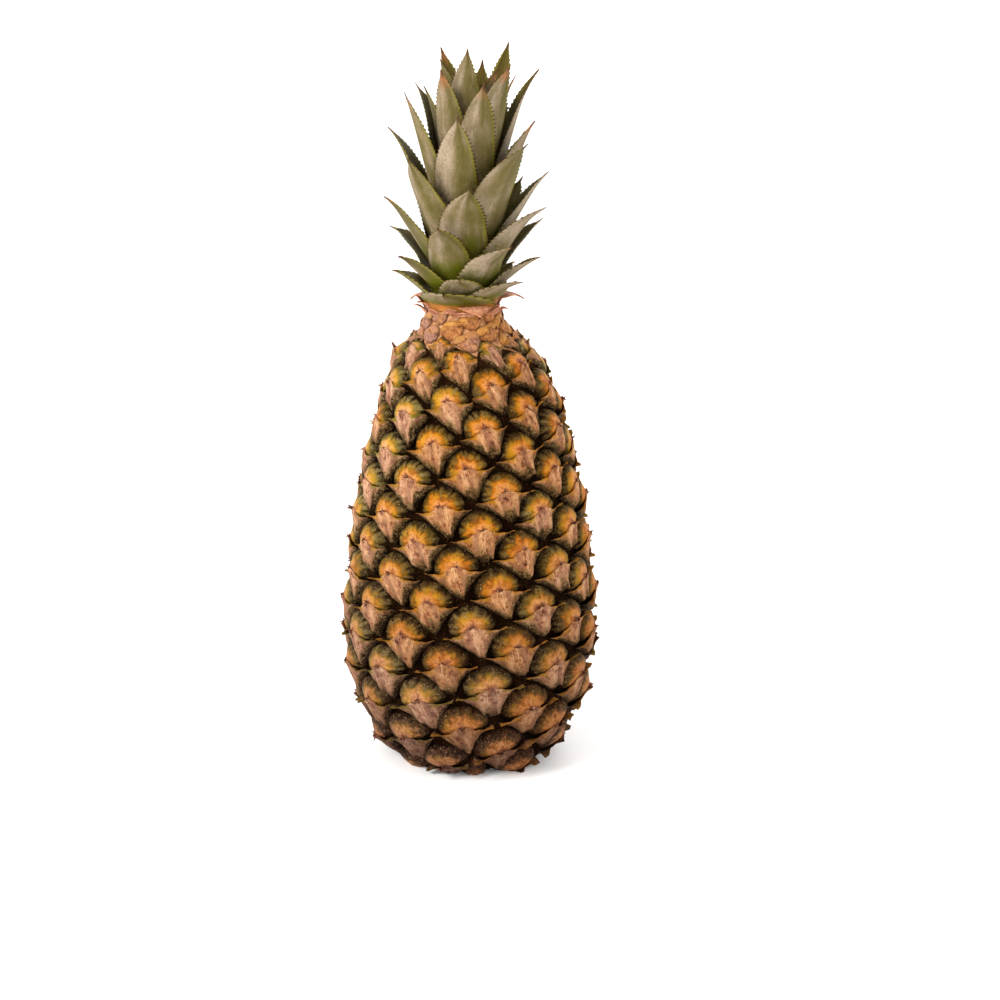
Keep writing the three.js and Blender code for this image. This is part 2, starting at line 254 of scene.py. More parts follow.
# Painted shade and withering: the slow rise from 120 mm down darkens the lower half as painted shade, and the
# steep one below 34 mm is the base's real withering.
CELL_DRY_AND_SHADE = 0.6 * smooth(-CELL_Z, -120, -15) + 0.4 * smooth(-CELL_Z, -34, -8)  # 1 at the withered base, and up to 0.6 on the lower half as painted shade
DICE = np.random.default_rng(CELL_SEED).random((len(CELLS), 10))  # each cell's own chances
RIPE_AND_SHADED_SIDE = 40  # riper, more orange and darker round this azimuth: partly ripeness, partly painted shade away from the key light
CELL_RIPE = 0.45 + 0.28 * np.cos(np.radians(CELL_AZIMUTH - RIPE_AND_SHADED_SIDE)) + 0.5 * (DICE[:, 0] - 0.5)
CELL_RIPE = np.clip(CELL_RIPE - 0.1 * CELL_DRY_AND_SHADE - 0.25 * CELL_SHOULDER * CELL_FULL, 0.02, 1)
CELL_TONE = np.stack([CELL_RIPE, CELL_FULL, CELL_DRY_AND_SHADE], -1)
MOST_SCALE_FULL = 0.06  # fuller cells are eyes, and the others are the neck's lumps with their scales
LOWEST_EYE = -4
IS_SCALE = CELL_FULL <= MOST_SCALE_FULL
FULL_EYES = np.flatnonzero(~IS_SCALE & (CELL_Z > LOWEST_EYE))
NECK_EYES = np.flatnonzero(IS_SCALE & (CELL_Z > NECK_FROM) & (CELL_Z < FRUIT_HEIGHT + 1))


def each(values, cells=slice(None)):
    """The cells' values, shaped to go with one grid of points for each cell."""
    return values[cells][:, None, None]


def chances(cells):
    """The cells' ten random numbers from 0 to 1, each shaped in the same way."""
    return [each(DICE[:, k], cells) for k in range(DICE.shape[1])]


def on_cells(cells, u, v, lift):
    """Points on the rind at (u, v) steps from the middle of each of the cells."""
    return on_rind(each(CELL_U, cells) + u, each(CELL_V, cells) + v, lift)


def rounded(parts):
    """About the largest of the parts' sizes, with a soft change from one to the next."""
    return sum(np.abs(part) ** EYE_ROUNDNESS for part in parts) ** (1 / EYE_ROUNDNESS)


def cell_reach(u, v, cells):
    """How far a point lies from the middle of its cell: 1 half way to each of the cells around it, with the
    corners between them rounded off. The two upper sides bulge out and the two lower ones are as hollow."""
    steps = [(each(STEP_U[k], cells), each(STEP_V[k], cells)) for k in (0, 1)]
    right, down = [u * step_u + v * step_v for step_u, step_v in steps]
    parts = []
    for a, b in AROUND:
        across, along_it = [a * step_u + b * step_v for step_u, step_v in steps]
        parts.append(2 * (right * across + down * along_it) / (across**2 + along_it**2))
    plain = np.maximum(rounded(parts), 1e-6)
    bulges = [bulge * each(CELL_FULL, cells) for bulge in EYE_BULGE]
    parts[:2] = [
        parts[0] + bulges[0] * (plain - parts[1] ** 2 / plain),
        parts[1] + bulges[1] * (plain - parts[0] ** 2 / plain),
    ]
    return rounded(parts)


# A cell's height and width, against those of the large cells.
LARGE_CELL_DOWN = 1.23  # the large cells' cell_reach half way to the cell that is straight below
LARGE_CELL_RIGHT = 1.41  # and half way to the one that is straight to the right
MOST_RIGHT_SIZE = 1.05
DOWN_SIZE = LARGE_CELL_DOWN / cell_reach(0.5, 0.5, slice(None)).ravel()
RIGHT_SIZE = np.minimum(MOST_RIGHT_SIZE, LARGE_CELL_RIGHT / cell_reach(0.5, -0.5, slice(None)).ravel())
# The flower's place in each cell: in cell heights down, then in steps along each of the two spirals.
CELL_FLOWER = BLOSSOM + SHOULDER_DROP * CELL_SHOULDER * CELL_FULL
CELL_BLOSSOM = CELL_FLOWER / 2 * np.where(CELL_FLOWER < 0, DOWN_SIZE, (DOWN_SIZE + 1) / 2)


def in_cell(down, right, cells):
    """Steps along both spirals, from places down and across a cell in cell heights and widths. Places above
    and below the flower squeeze or stretch to where it sits in its cell."""
    height, flower = each(DOWN_SIZE, cells), each(CELL_FLOWER, cells)
    over = -1 + (down + 1) * (flower + 1) / (BLOSSOM + 1)
    under = 1 - (1 - down) * (1 - flower) / (1 - BLOSSOM)
    down = np.where(down < BLOSSOM, over, under)
    down, right = down * np.where(down < 0, height, (height + 1) / 2), right * each(RIGHT_SIZE, cells)
    return (down + right) / 2, (down - right) / 2


RADIUS_ROUNDS = 8  # each round brings eye_radius closer to the value that it has to agree with


def eye_radius(u, v, cells):
    """How far out of its eye a point lies: 0 at the withered flower and 1 at the furrow. Between them the
    cell's border shrinks towards the flower."""
    flower = each(CELL_BLOSSOM, cells)
    rho = cell_reach(u, v, cells)
    for _ in range(RADIUS_ROUNDS):
        rho = cell_reach(u - flower * (1 - rho), v - flower * (1 - rho), cells)
    return rho


def eye_peak(full, chance):
    """How high an eye rises: more on a full eye, and by chance."""
    return EYE_PEAK * mix(0.2, 1, full) * (0.6 + 0.8 * chance)


def eye_lift(rho, cells):
    """Lift of the bare eye at rho: a full dome that peaks at the flower and drops steeply to the furrow."""
    full, groove = each(CELL_FULL, cells), each(CELL_GROOVE, cells)
    return eye_peak(full, each(DICE[:, 2], cells)) * (1 - rho) ** 1.5 - groove * rho ** mix(6, 9, full)


ROW_KEY = 100000  # more than the number of mesh lines down the rind


def rind_mesh(steps):
    """Every cell as a grid of steps x steps quads, a little under the domes. Cells share the points on their
    borders, and the cell 13 steps along one spiral and 8 back along the other is the same, once round."""
    i, j = np.meshgrid(np.arange(steps + 1), np.arange(steps + 1), indexing="ij")
    u = np.broadcast_to(i / steps - 0.5, (len(CELLS),) + i.shape)
    v = np.broadcast_to(j / steps - 0.5, u.shape)
    line_u = each(CELL_U * steps) + i
    line_v = each(CELL_V * steps) + j
    turns = line_v // (8 * steps)
    keys = (line_u + 13 * steps * turns) * ROW_KEY + line_v - 8 * steps * turns
    rho = eye_radius(u, v, slice(None))
    for a, b in AROUND:
        for way in (-1, 1):
            other = np.clip(np.arange(len(CELLS)) + way * (8 * a + 13 * b), 0, len(CELLS) - 1)
            rho = np.minimum(rho, eye_radius(u - way * a, v - way * b, other))
    rho = np.minimum(rho, 1)
    lift = eye_lift(rho, slice(None)) - 0.5 * (1 + each(CELL_SHOULDER)) * (1 - rho**8)
    points = on_cells(slice(None), u, v, lift)
    keys, first, point_of = np.unique(keys.ravel(), return_index=True, return_inverse=True)
    cell_faces = np.arange(len(CELLS))[:, None, None] * (steps + 1) ** 2
    corners = (cell_faces + grid_quads(steps + 1, steps + 1)[:, ::-1]).reshape(-1, 4)
    tone = np.repeat(CELL_TONE, (steps + 1) ** 2, axis=0)[first]
    return points.reshape(-1, 3)[first], point_of.ravel()[corners], tone


def close_ends(points, faces):
    """Adds a point on the axis at each end and joins the open border there to it."""
    edges = np.concatenate([faces[:, [k, (k + 1) % 4]] for k in range(4)])
    ids = edges[:, 0] * len(points) + edges[:, 1]
    back = edges[:, 1] * len(points) + edges[:, 0]
    border = edges[~np.isin(ids, back)]
    top = points[border[:, 0], 2] > FRUIT_HEIGHT / 2
    ends = np.array([[NECK_SHIFT, 0, NECK_TOP], [0, 0, BASE_HOLLOW]])
    hub = np.where(top, len(points), len(points) + 1)
    fans = np.stack([border[:, 1], border[:, 0], hub], -1)
    return np.concatenate([points, ends]), faces.tolist() + fans.tolist()


# ---------------------------------------------------------------- eyes
# Rings of mesh from the flower to the rim, spokes, and pleats, for a full eye and for a lump of the neck.
EYE_RINGS = [0.04, 0.18, 0.36, 0.53, 0.68, 0.8, 0.89, 0.95, 1]
EYE_SPOKES = 80
EYE_PLEATS = 13
NECK_RINGS = [0.04, 0.25, 0.5, 0.7, 0.85, 0.95, 1]
NECK_SPOKES = 36
NECK_PLEATS = 5
NEAR_FLOWER = 0.3  # steps out from the flower at which the way to the eye's border is measured
# A neck cell's lump, in cell heights and widths: where its middle is, half its height and half its width.
LUMP_MIDDLE = -0.25
LUMP_HEIGHT = 0.5
LUMP_WIDTH = 1.0


def pleats_round(turn, start, pleats):
    """How high the pleats stand at each turn round the flower, from 0 in a crease to 1, and how clear they
    are there. A crease comes where a sine of the turn is 0, and slower sines shift it or fill it in."""
    wander = 1.3 * np.sin(2 * turn + start) + 0.9 * np.sin(3 * turn + 2.3 * start)
    wander = wander + 0.5 * np.sin(5 * turn + 4 * start)
    uneven = 0.5 + 0.5 * np.sin(4 * turn + 3 * start) * np.sin(3 * turn + start)
    pleat = np.abs(np.sin(pleats / 2 * turn + wander + start)) ** 0.7
    return mix(0.75, pleat, uneven), uneven


def lump_places(rho, turn, chance, cells):
    """Where the points of a neck cell's lump lie: in a ragged disc, wider than it is tall."""
    ragged = rho * (1 + 0.12 * np.sin(3 * turn + 9 * chance[7]) + 0.06 * np.sin(5 * turn + 7 * chance[8]))
    half_height = LUMP_HEIGHT * (0.75 + 0.4 * chance[9])
    half_width = LUMP_WIDTH * (0.85 + 0.4 * chance[8])
    down = LUMP_MIDDLE + half_height * ragged * (np.cos(turn) + np.sin(turn)) / np.sqrt(2)
    right = half_width * ragged * (np.cos(turn) - np.sin(turn)) / np.sqrt(2)
    return in_cell(down, right, cells)


def dome_lift(rho, ring, pleat, chance, cells):
    """Lift of the dome's skin: the bare eye with its pleats, tucked in at the rim. On the neck it is a low
    lens, highest in its middle."""
    full = each(CELL_FULL, cells)
    eye = eye_lift(rho, cells) - 0.8 * smooth(ring, 0.93, 1)
    lump = (0.1 + 0.5 * chance[4] * chance[6]) * (1 - rho**2) + 0.15 - 0.9 * rho**8
    pleat_height = mix(0.15, 0.95 - 0.4 * chance[5], full)
    return mix(lump, eye, smooth(full, 0, 0.25)) + pleat_height * (pleat - 0.7) * smooth(rho, 0.3, 0.8)


def domes_mesh(cells, rings, spokes, pleats):
    """A closed dome over each of the cells, in rings round its flower. Soft pleats run out from the flower,
    with a thin crease between each two, and scallop the rim, which goes down into the furrow. Each dome
    bulges a little here and there, and its part below the flower is lower, to make room for the bract."""
    chance = chances(cells)
    full, flower = each(CELL_FULL, cells), each(CELL_BLOSSOM, cells)
    ring = np.array(rings)[None, :, None]
    turn = np.linspace(0, 2 * np.pi, spokes, endpoint=False)[None, None, :]
    start = 2 * np.pi * chance[1]
    pleat, uneven = pleats_round(turn, start, pleats)
    rho = ring * (0.975 + 0.035 * pleat + 0.015 * np.sin(3 * turn + 6 * start))
    ray_u, ray_v = np.cos(turn), np.sin(turn)
    border = NEAR_FLOWER / eye_radius(flower + NEAR_FLOWER * ray_u, flower + NEAR_FLOWER * ray_v, cells)
    lump_u, lump_v = lump_places(rho, turn, chance, cells)
    like_eye = smooth(full, 0, 0.25)
    u = mix(lump_u, flower + rho * border * ray_u, like_eye)
    v = mix(lump_v, flower + rho * border * ray_v, like_eye)

    lobes = np.sin(2 * turn + 7 * start) + 0.8 * np.sin(3 * turn + 5 * start)
    lobes = lobes + 0.5 * np.sin(5 * turn + 2 * start)
    lift = dome_lift(rho, ring, pleat, chance, cells)
    lift += 0.8 * full * lobes * rho**2 * (1 - rho)
    lift -= 0.9 * full * smooth((u + v - 2 * flower) / each(DOWN_SIZE, cells), 0.08, 0.35)
    points = on_cells(cells, u, v, lift)

    facts = np.stack(np.broadcast_arrays(rho, pleat, uneven), -1)
    rays = np.stack(np.broadcast_arrays(ray_u, ray_v, 40 * chance[3] + 0.5 * rho), -1)
    tone = np.repeat(CELL_TONE[cells], len(rings) * spokes, axis=0)
    faces = ring_faces(len(rings), spokes, len(cells))
    return points.reshape(-1, 3), faces, facts.reshape(-1, 3), rays.reshape(-1, 3), tone


# ---------------------------------------------------------------- bracts
PALE_LINE = 0.6  # the row where a bract turns down and its pale part ends
BRACT_ROWS = [0, 0.07, 0.16, 0.27, 0.39, 0.5, PALE_LINE, 0.68, 0.77, 0.88, 1]
BRACT_COLS = 31
BRACT_THICKNESS = 0.3
# Lines across a bract: steps down the cell, at steps from its middle line to its left or right wing.
UPPER_EDGE = [
    (-1, -0.07), (-0.8, -0.05), (-0.6, -0.03), (-0.45, -0.04), (-0.34, -0.08), (-0.26, -0.13), (-0.18, -0.18),
    (-0.08, -0.21), (0, -0.18), (0.1, -0.21), (0.18, -0.17), (0.26, -0.11), (0.34, -0.05), (0.45, 0),
    (0.6, 0.03), (0.8, 0.05), (1, 0.05),
]
PALE_ONE_LEG = [
    (-1, -0.06), (-0.85, 0.02), (-0.65, 0.14), (-0.45, 0.29), (-0.25, 0.48), (-0.08, 0.66), (0.04, 0.78),
    (0.1, 0.83), (0.17, 0.7), (0.25, 0.47), (0.36, 0.28), (0.5, 0.17), (0.75, 0.1), (1, 0.07),
]
PALE_TWO_LEGS = [
    (-1, -0.06), (-0.85, 0.0), (-0.65, 0.1), (-0.5, 0.24), (-0.38, 0.42), (-0.3, 0.6), (-0.23, 0.56),
    (-0.14, 0.5), (0, 0.47), (0.1, 0.53), (0.17, 0.7), (0.22, 0.77), (0.27, 0.54), (0.36, 0.31), (0.5, 0.17),
    (0.75, 0.1), (1, 0.07),
]
LOWER_EDGE = [
    (-1, 0.01), (-0.85, 0.15), (-0.65, 0.34), (-0.45, 0.54), (-0.25, 0.76), (-0.05, 0.96), (0.1, 0.96),
    (0.25, 0.76), (0.45, 0.52), (0.65, 0.34), (0.85, 0.2), (1, 0.12),
]
RIGHT_LEG, LEFT_LEG = 0.18, -0.29  # where the legs lie across a bract


def sheets_on_cells(cells, u, v, lift, thickness):
    """A closed sheet on each of the cells, from its outer grid, and the number of points that it holds."""
    sheets = [on_cells(cells, u, v, lift - depth) for depth in (0, thickness)]
    rows, cols = lift.shape[1:]
    size = 2 * rows * cols
    starts = np.arange(len(cells))[:, None, None] * size
    faces = (starts + sheet_quads(rows, cols)).reshape(-1, 4)
    return np.stack(sheets, 1).reshape(-1, 3), faces, size


def both_sides(*values):
    """Values for each point of the outer grids, joined and given to the inner grids too."""
    joined = np.stack(np.broadcast_arrays(*values), -1)
    return np.stack([joined, joined], 1).reshape(-1, len(values))


def bract_lines(t, two_legs, chance, dry):
    """Steps down the cell at each place across a bract: its torn upper edge, the frayed end of its pale part,
    and its lower edge."""
    out = np.abs(t)
    tear = 0.03 * np.sin(31 * t + 20 * chance[1]) * bell(t, 0.3) + 0.012 * np.sin(19 * t + 40 * chance[4])
    upper = along(UPPER_EDGE, t) + tear + 0.06 * (chance[5] - 0.5) * bell(t, 0.3)
    frayed = 0.045 * np.sin(17 * t + 30 * chance[2]) + 0.03 * np.sin(41 * t + 50 * chance[6])
    lower = along(LOWER_EDGE, t) + 0.03 * np.sin(29 * t + 40 * chance[4]) * (1 - out)
    pale = mix(along(PALE_ONE_LEG, t), along(PALE_TWO_LEGS, t), two_legs) * (0.9 + 0.2 * chance[8])
    pale = mix(pale + frayed * (1 - out), lower - 0.05, 0.75 * dry)
    pale = np.maximum(pale, upper + 0.02)
    return upper, pale, np.maximum(lower, pale + 0.05)


def bract_relief(t, s, above, sink, two_legs, chance):
    """What stands off a bract: folds that run down it, by sines of both places, its legs, and a hollow on
    either side of them."""
    fold = np.sin(9 * t + 6.28 * chance[4] + 1.5 * s) + 0.6 * np.sin(19 * t + 9 * chance[1] - 2 * s)
    fold = fold + 0.8 * np.sin(13 * t + 11 * s + 12 * chance[7]) * np.sin(7 * s - 5 * t + 9 * chance[2])
    leg = bell(t - RIGHT_LEG, 0.07) + two_legs * bell(t - LEFT_LEG, 0.07)
    leg = leg * (1 - above) * (1 - sink)
    hollow = bell(np.abs(t) - 0.42, 0.16) * bell(s - 0.4, 0.25)
    return fold, leg, hollow


def bracts_mesh(cells):
    """The bract under every full eye. Rows run from its upper edge to its lower one, and columns from its
    left wing to its right one. It clasps the eye up to the flower in a torn end. Its pale part ends in one or
    two legs, and from there it turns down into the furrow. Its wings stand clear of the furrow, with their
    upper edges curled out."""
    chance = chances(cells)
    full, dry, shoulder = each(CELL_FULL, cells), each(CELL_DRY_AND_SHADE, cells), each(CELL_SHOULDER, cells)
    s = np.array(BRACT_ROWS)[None, :, None]
    t = np.linspace(-1, 1, BRACT_COLS)[None, None, :]
    t = mix(t, t * np.abs(t), 0.35)
    out = np.abs(t)
    two_legs = smooth(chance[3], 0.35, 0.65)
    above = np.clip(1 - s / PALE_LINE, 0, 1)
    sink = np.clip((s - PALE_LINE) / (1 - PALE_LINE), 0, 1)

    upper, pale, lower = bract_lines(t, two_legs, chance, dry)
    down = upper + (pale - upper) * (1 - above) + (lower - pale) * sink
    droop = 0.18 * (np.where(t < 0, chance[2], chance[6]) - 0.45)
    down = down + droop * smooth(out, 0.3, 1)
    short = 1 - 0.06 * shoulder
    left_wing, right_wing = short * (0.86 + 0.12 * chance[7]), short * (0.82 + 0.14 * chance[8])
    right = t * np.where(t < 0, left_wing, right_wing) + (0.3 * chance[5] - 0.16) * s * (1 - out)
    u, v = in_cell(down, right, cells)

    rho = np.minimum(eye_radius(u, v, cells), 1)
    fall = 2.6 - 1.6 * shoulder
    body = 0.9 * eye_peak(full, chance[2]) * (1 - rho) ** 1.5 + 0.6 - 0.9 * rho**5 - fall * sink**1.9
    curl = (0.9 + 1.7 * chance[9] + 1.0 * dry) * smooth(out, 0.25, 0.8)
    wing = -0.4 + curl * above**2 - fall * sink**1.6
    lift = mix(body, wing, smooth(out, 0.38, 0.8)) + 0.6 * above**3 * smooth(out, 0.2, 0.45)
    fold, leg, hollow = bract_relief(t, s, above, sink, two_legs, chance)
    lift += 0.42 * fold * (0.25 + 0.75 * (1 - above)) * (1 - 0.8 * out) * (1 - 0.5 * sink)
    lift -= 0.5 * hollow
    lift += 0.7 * leg
    tip = 0.2 + 1.8 * chance[6] ** 3 + 1.2 * dry
    lift += tip * bell(t - 0.3 * (chance[0] - 0.5), 0.12) * bell(s, 0.1)
    lift = lift * mix(0.6, 1, full)

    points, faces, size = sheets_on_cells(cells, u, v, lift, BRACT_THICKNESS)
    place = both_sides(t / 2 + 0.5 + 0 * lift, s)
    relief = both_sides(fold / 4.8 + 0.5, leg, hollow)
    tone = np.repeat(CELL_TONE[cells], size, axis=0)
    return points, faces.tolist(), place[faces.ravel()], relief, tone


# ---------------------------------------------------------------- neck scales
SCALE_ROWS = 7
SCALE_COLS = 13
SCALE_THICKNESS = 0.25


def scales_mesh(cells):
    """The small dry scale on the lower half of every neck cell, with a ragged upper edge that ends in a
    short raised point."""
    chance = chances(cells)
    s = np.linspace(0, 1, SCALE_ROWS)[None, :, None]
    t = np.linspace(-1, 1, SCALE_COLS)[None, None, :]
    out = np.abs(t)
    point = bell(t - 0.3 * (chance[0] - 0.5), 0.2)
    upper = 0.02 - (0.15 + 0.25 * chance[1]) * point + 0.05 * np.sin(9 * t + 20 * chance[2])
    lower = 0.12 + (0.4 + 0.4 * chance[3]) * (1 - out**2) + 0.04 * np.sin(13 * t + 30 * chance[5])
    down = mix(upper, np.maximum(lower, upper + 0.05), s)
    right = t * (0.65 + 0.35 * chance[4]) + 0 * s
    u, v = in_cell(down, right, cells)
    lift = 0.85 - 1.5 * s**2 - 0.5 * out**2
    lift = lift + (0.1 + 1.0 * chance[6] ** 2) * bell(s, 0.25) * point
    lift += 0.12 * np.sin(11 * t + 9 * chance[7] + 4 * s)
    points, faces, size = sheets_on_cells(cells, u, v, lift, SCALE_THICKNESS)
    place = both_sides(t / 2 + 0.5 + 0 * lift, s)
    tone = np.repeat(CELL_TONE[cells], size, axis=0)
    return points, faces.tolist(), place[faces.ravel()], tone


# ---------------------------------------------------------------- withered flowers
PRONGS = 5  # in each flower
PRONG_RINGS = 5
PRONG_SPOKES = 5
PRONG_ROOT = 0.5  # how deep a prong starts in the eye


def flowers_mesh(cells):
    """What is left of the flower on each full eye: a tuft of short withered prongs that stand out of the
    peak, each a bent cone that leans its own way."""
    dice = np.random.default_rng(FLOWER_SEED).random((len(cells), PRONGS, 5))[:, :, :, None, None]
    ring = np.linspace(0.96, 0, PRONG_RINGS)[None, None, :, None]
    turn = np.linspace(0, 2 * np.pi, PRONG_SPOKES, endpoint=False)[None, None, None, :]
    lean = 2 * np.pi * dice[:, :, 0]
    length = 0.3 + 2.3 * dice[:, :, 1] ** 3
    thick = (0.04 + 0.03 * dice[:, :, 2]) * (1 - ring) ** 0.7
    bend = 0.02 + (0.03 + 0.06 * dice[:, :, 3]) * ring**1.5
    flower = each(CELL_BLOSSOM, cells)[..., None]
    u = flower + bend * np.cos(lean) + thick * np.cos(turn) / 2
    v = flower + bend * np.sin(lean) + thick * np.sin(turn) / 2
    peak = each(eye_peak(CELL_FULL, DICE[:, 2]), cells)[..., None]
    lift = peak - PRONG_ROOT + (length + PRONG_ROOT) * ring + 0 * turn
    points = on_rind(each(CELL_U, cells)[..., None] + u, each(CELL_V, cells)[..., None] + v, lift)
    return points.reshape(-1, 3), ring_faces(PRONG_RINGS, PRONG_SPOKES, len(cells) * PRONGS)


# ---------------------------------------------------------------- crown leaves
TOOTH_PITCH = 1.75
TOOTH_ROWS = 3
TOOTH_PROFILE = np.array([0, 0.12, 1])  # how much of a tooth each of its rows has
TOOTH_LENGTH = 1.0
DRY_TOOTH_LENGTH = 0.25
FULL_GROWN = 30  # shorter leaves have shorter teeth and sway less
TIP_SPINE = 3.2  # length of the narrow dry point at a leaf's end
# A low leaf's foot is broader than its blade by this much each way, and clasps the stem by these degrees.
FOOT_SPREAD = [(4, 0), (5, 9), (7, 6), (10, 3.5), (14, 3), (24, 0)]
CLASP = [(1, 42), (4, 46), (5, 82), (8, 74), (12, 62), (22, 46), (54, 44)]
TIP_CLASP = 50
SWING = -1.8  # how far a leaf's middle bends sideways, so that its tip points the other way
# How far below its node a low leaf still hugs the stem, leaning by SHEATH_LEAN, and how far off it stands.
SHEATH = [(4, 0), (5, 2.6), (9, 2.4), (13, 1.2), (18, 0)]
SHEATH_SPREAD = [(5, 1.5), (9, 0.3), (12, 0)]
SHEATH_LEAN = 12
LEAF_COLS = 13


def stem_radius(height):
    """The stem's radius, in a straight line from its foot to its top."""
    return mix(STEM_RADII[0], STEM_RADII[1], height / STEM_HEIGHT)


def leaf_midline(leaf, length, sheath, s, dice):
    """Slope, distance from the axis and height along the midline of a leaf. The midline leans out by an angle
    that changes evenly from foot to tip, with a bend added at the tip, and the sheath's own lean low down."""
    lean = along(LEAF_LEAN, leaf) + along(LEAF_CURL, leaf) * (2 * s - 1)
    lean = lean + (4 + 16 * dice[0]) * smooth(s, 0.72, 1) * (leaf > DRY_LEAVES)
    lean = mix(SHEATH_LEAN, lean, smooth(s * length, 0.3 * sheath - 0.01, 1.6 * sheath))
    slope = np.radians(lean)
    run = length / (len(s) - 1)
    middle = (slope[1:] + slope[:-1]) / 2
    foot = along(LEAF_FOOT, leaf) + CLEARANCE - sheath
    start = stem_radius(foot + sheath) + CLEARANCE + LEAF_THICKNESS
    start = start + along(SHEATH_SPREAD, leaf) * (sheath > 0)
    radius = start + np.concatenate([[0], np.cumsum(run * np.sin(middle))])
    height = foot + np.concatenate([[0], np.cumsum(run * np.cos(middle))])
    return slope, radius, height


def leaf_width(leaf, length, s, dice):
    """Half the width of a leaf along it: broad at the foot, and tapering late to a narrow spine."""
    spine_from = 1 - TIP_SPINE / length
    blade = along(LEAF_HALF_WIDTH, leaf) * (0.75 + 0.25 * smooth(s, 0, 0.35))
    blade = blade + along(FOOT_SPREAD, leaf) * (1 - smooth(s, 0, 0.6))
    blade = blade * (1 - np.minimum(s / spine_from, 1) ** 3.6) * (1 + 0.04 * np.sin(7 * s + 9 * dice[1]))
    return blade + 0.15 + 0.75 * np.minimum((1 - s) / (1 - spine_from), 1)


def leaf_teeth(leaf, length, s, width):
    """How much of a tooth each row has, and how far it stands out of the edge."""
    phase = np.arange(len(s)) % TOOTH_ROWS
    tooth = TOOTH_PROFILE[phase] * smooth(s, 0.02, 0.12) * smooth(1 - s, 0.0, 0.06)
    fresh_length = TOOTH_LENGTH * min(1, length / FULL_GROWN)
    bite = tooth * (fresh_length if leaf > DRY_LEAVES else DRY_TOOTH_LENGTH)
    return tooth, bite * smooth(width, 0, 6)


def leaf_sway(leaf, length, s, radius, dice):
    """How far round the axis each row is moved, in radians: the middle to one side, the tip to the other."""
    aside = np.radians(14 * (dice[2] - 0.5)) * smooth(s, 0.55, 1)
    aside = aside + np.radians(2.5 * (dice[3] - 0.5)) * np.sin(6 * s)
    swing = SWING * (0.4 + 1.2 * dice[5]) * min(1, length / FULL_GROWN) * (leaf > DRY_LEAVES)
    return aside + swing * np.sin(np.pi * s**1.3) / radius


def leaf_sink(leaf, s, t, dice):
    """How deep the blade's outer face lies under its funnel: less along the keel, more towards the edges of
    the channel, and waved along the edges."""
    s = s[:, None]
    out = np.abs(t)[None, :]
    keel = 0.5 * bell(t, 0.22)[None, :] * smooth(s, 0.1, 0.4) * (1 - s**3)
    cup = 1.8 * out**1.7 * smooth(s, 0.2, 0.55) * (1 - s**4) * (leaf > DRY_LEAVES)
    ripple = 0.18 * np.sin(11 * s + 8 * dice[4]) * out**3 * np.sign(t)[None, :]
    return -(keel - cup + ripple)


def leaf_mesh(leaf, dice):
    """One leaf. Its outer face lies on a funnel round the stem; rows run from the foot to the tip and columns
    from edge to edge. The edges carry teeth that point forward."""
    turned, added = ODD_LEAVES.get(leaf, (0, 0))
    sheath = along(SHEATH, leaf)
    length = along(LEAF_LENGTH, leaf) + added + sheath
    rows = max(4, round(length / TOOTH_PITCH)) * TOOTH_ROWS + 1
    s = np.linspace(0, 1, rows)
    slope, radius, height = leaf_midline(leaf, length, sheath, s, dice)
    width = leaf_width(leaf, length, s, dice)
    clasp = np.radians(mix(along(CLASP, leaf), TIP_CLASP, np.minimum(1, 2 * s)))
    half = np.minimum(width / radius, clasp)
    tooth, bite = leaf_teeth(leaf, length, s, width)

    t = np.linspace(-1, 1, LEAF_COLS)
    t = np.sign(t) * np.abs(t) ** 0.85
    edge = (np.arange(LEAF_COLS) % (LEAF_COLS - 1) == 0)[None, :]
    angle = half[:, None] * t[None, :] + edge * np.sign(t)[None, :] * (bite / radius)[:, None]
    angle = angle + leaf_sway(leaf, length, s, radius, dice)[:, None]
    forward = 0.5 * bite[:, None]
    rise, out = np.cos(slope)[:, None], np.sin(slope)[:, None]
    r = radius[:, None] + edge * forward * out
    z = height[:, None] + edge * forward * rise
    sink = leaf_sink(leaf, s, t, dice)
    thick = mix(LEAF_MIDDLE, LEAF_EDGE, np.abs(t)[None, :] ** 1.5) * (1 - 0.5 * s[:, None] ** 3)

    turn = angle + np.radians(FRONT_LEAF_AZIMUTH + turned - GOLDEN_ANGLE * (leaf - FRONT_LEAF))
    sheets = []
    for depth in (sink, sink + thick):
        ring = r - depth * rise
        level = z + depth * out
        x = ring * np.sin(turn) + CROWN_LEAN * level + NECK_SHIFT
        sheets.append(np.stack([x, -ring * np.cos(turn), level + FRUIT_HEIGHT], -1))
    faces = sheet_quads(rows, LEAF_COLS)[:, ::-1]
    place = np.stack(np.broadcast_arrays(t[None, :] / 2 + 0.5, (s * length)[:, None] / 100), -1)
    place = np.stack([place, place]).reshape(-1, 2)
    far = np.broadcast_to(s[:, None], r.shape)
    rank = np.full(r.shape, leaf / LEAF_COUNT)
    facts = np.stack([np.stack([side + 0 * far, far, rank], -1) for side in (0, 1)]).reshape(-1, 3)
    teeth = (edge * tooth[:, None] + 0 * far).ravel()
    return np.stack(sheets).reshape(-1, 3), faces.tolist(), place[faces.ravel()], facts, np.tile(teeth, 2)


# ---------------------------------------------------------------- frill under the crown
FRILL_COUNT = 15
FRILL_ROWS = 8
FRILL_COLS = 9
FRILL_RADIUS = 15.4
FRILL_THICKNESS = 0.3


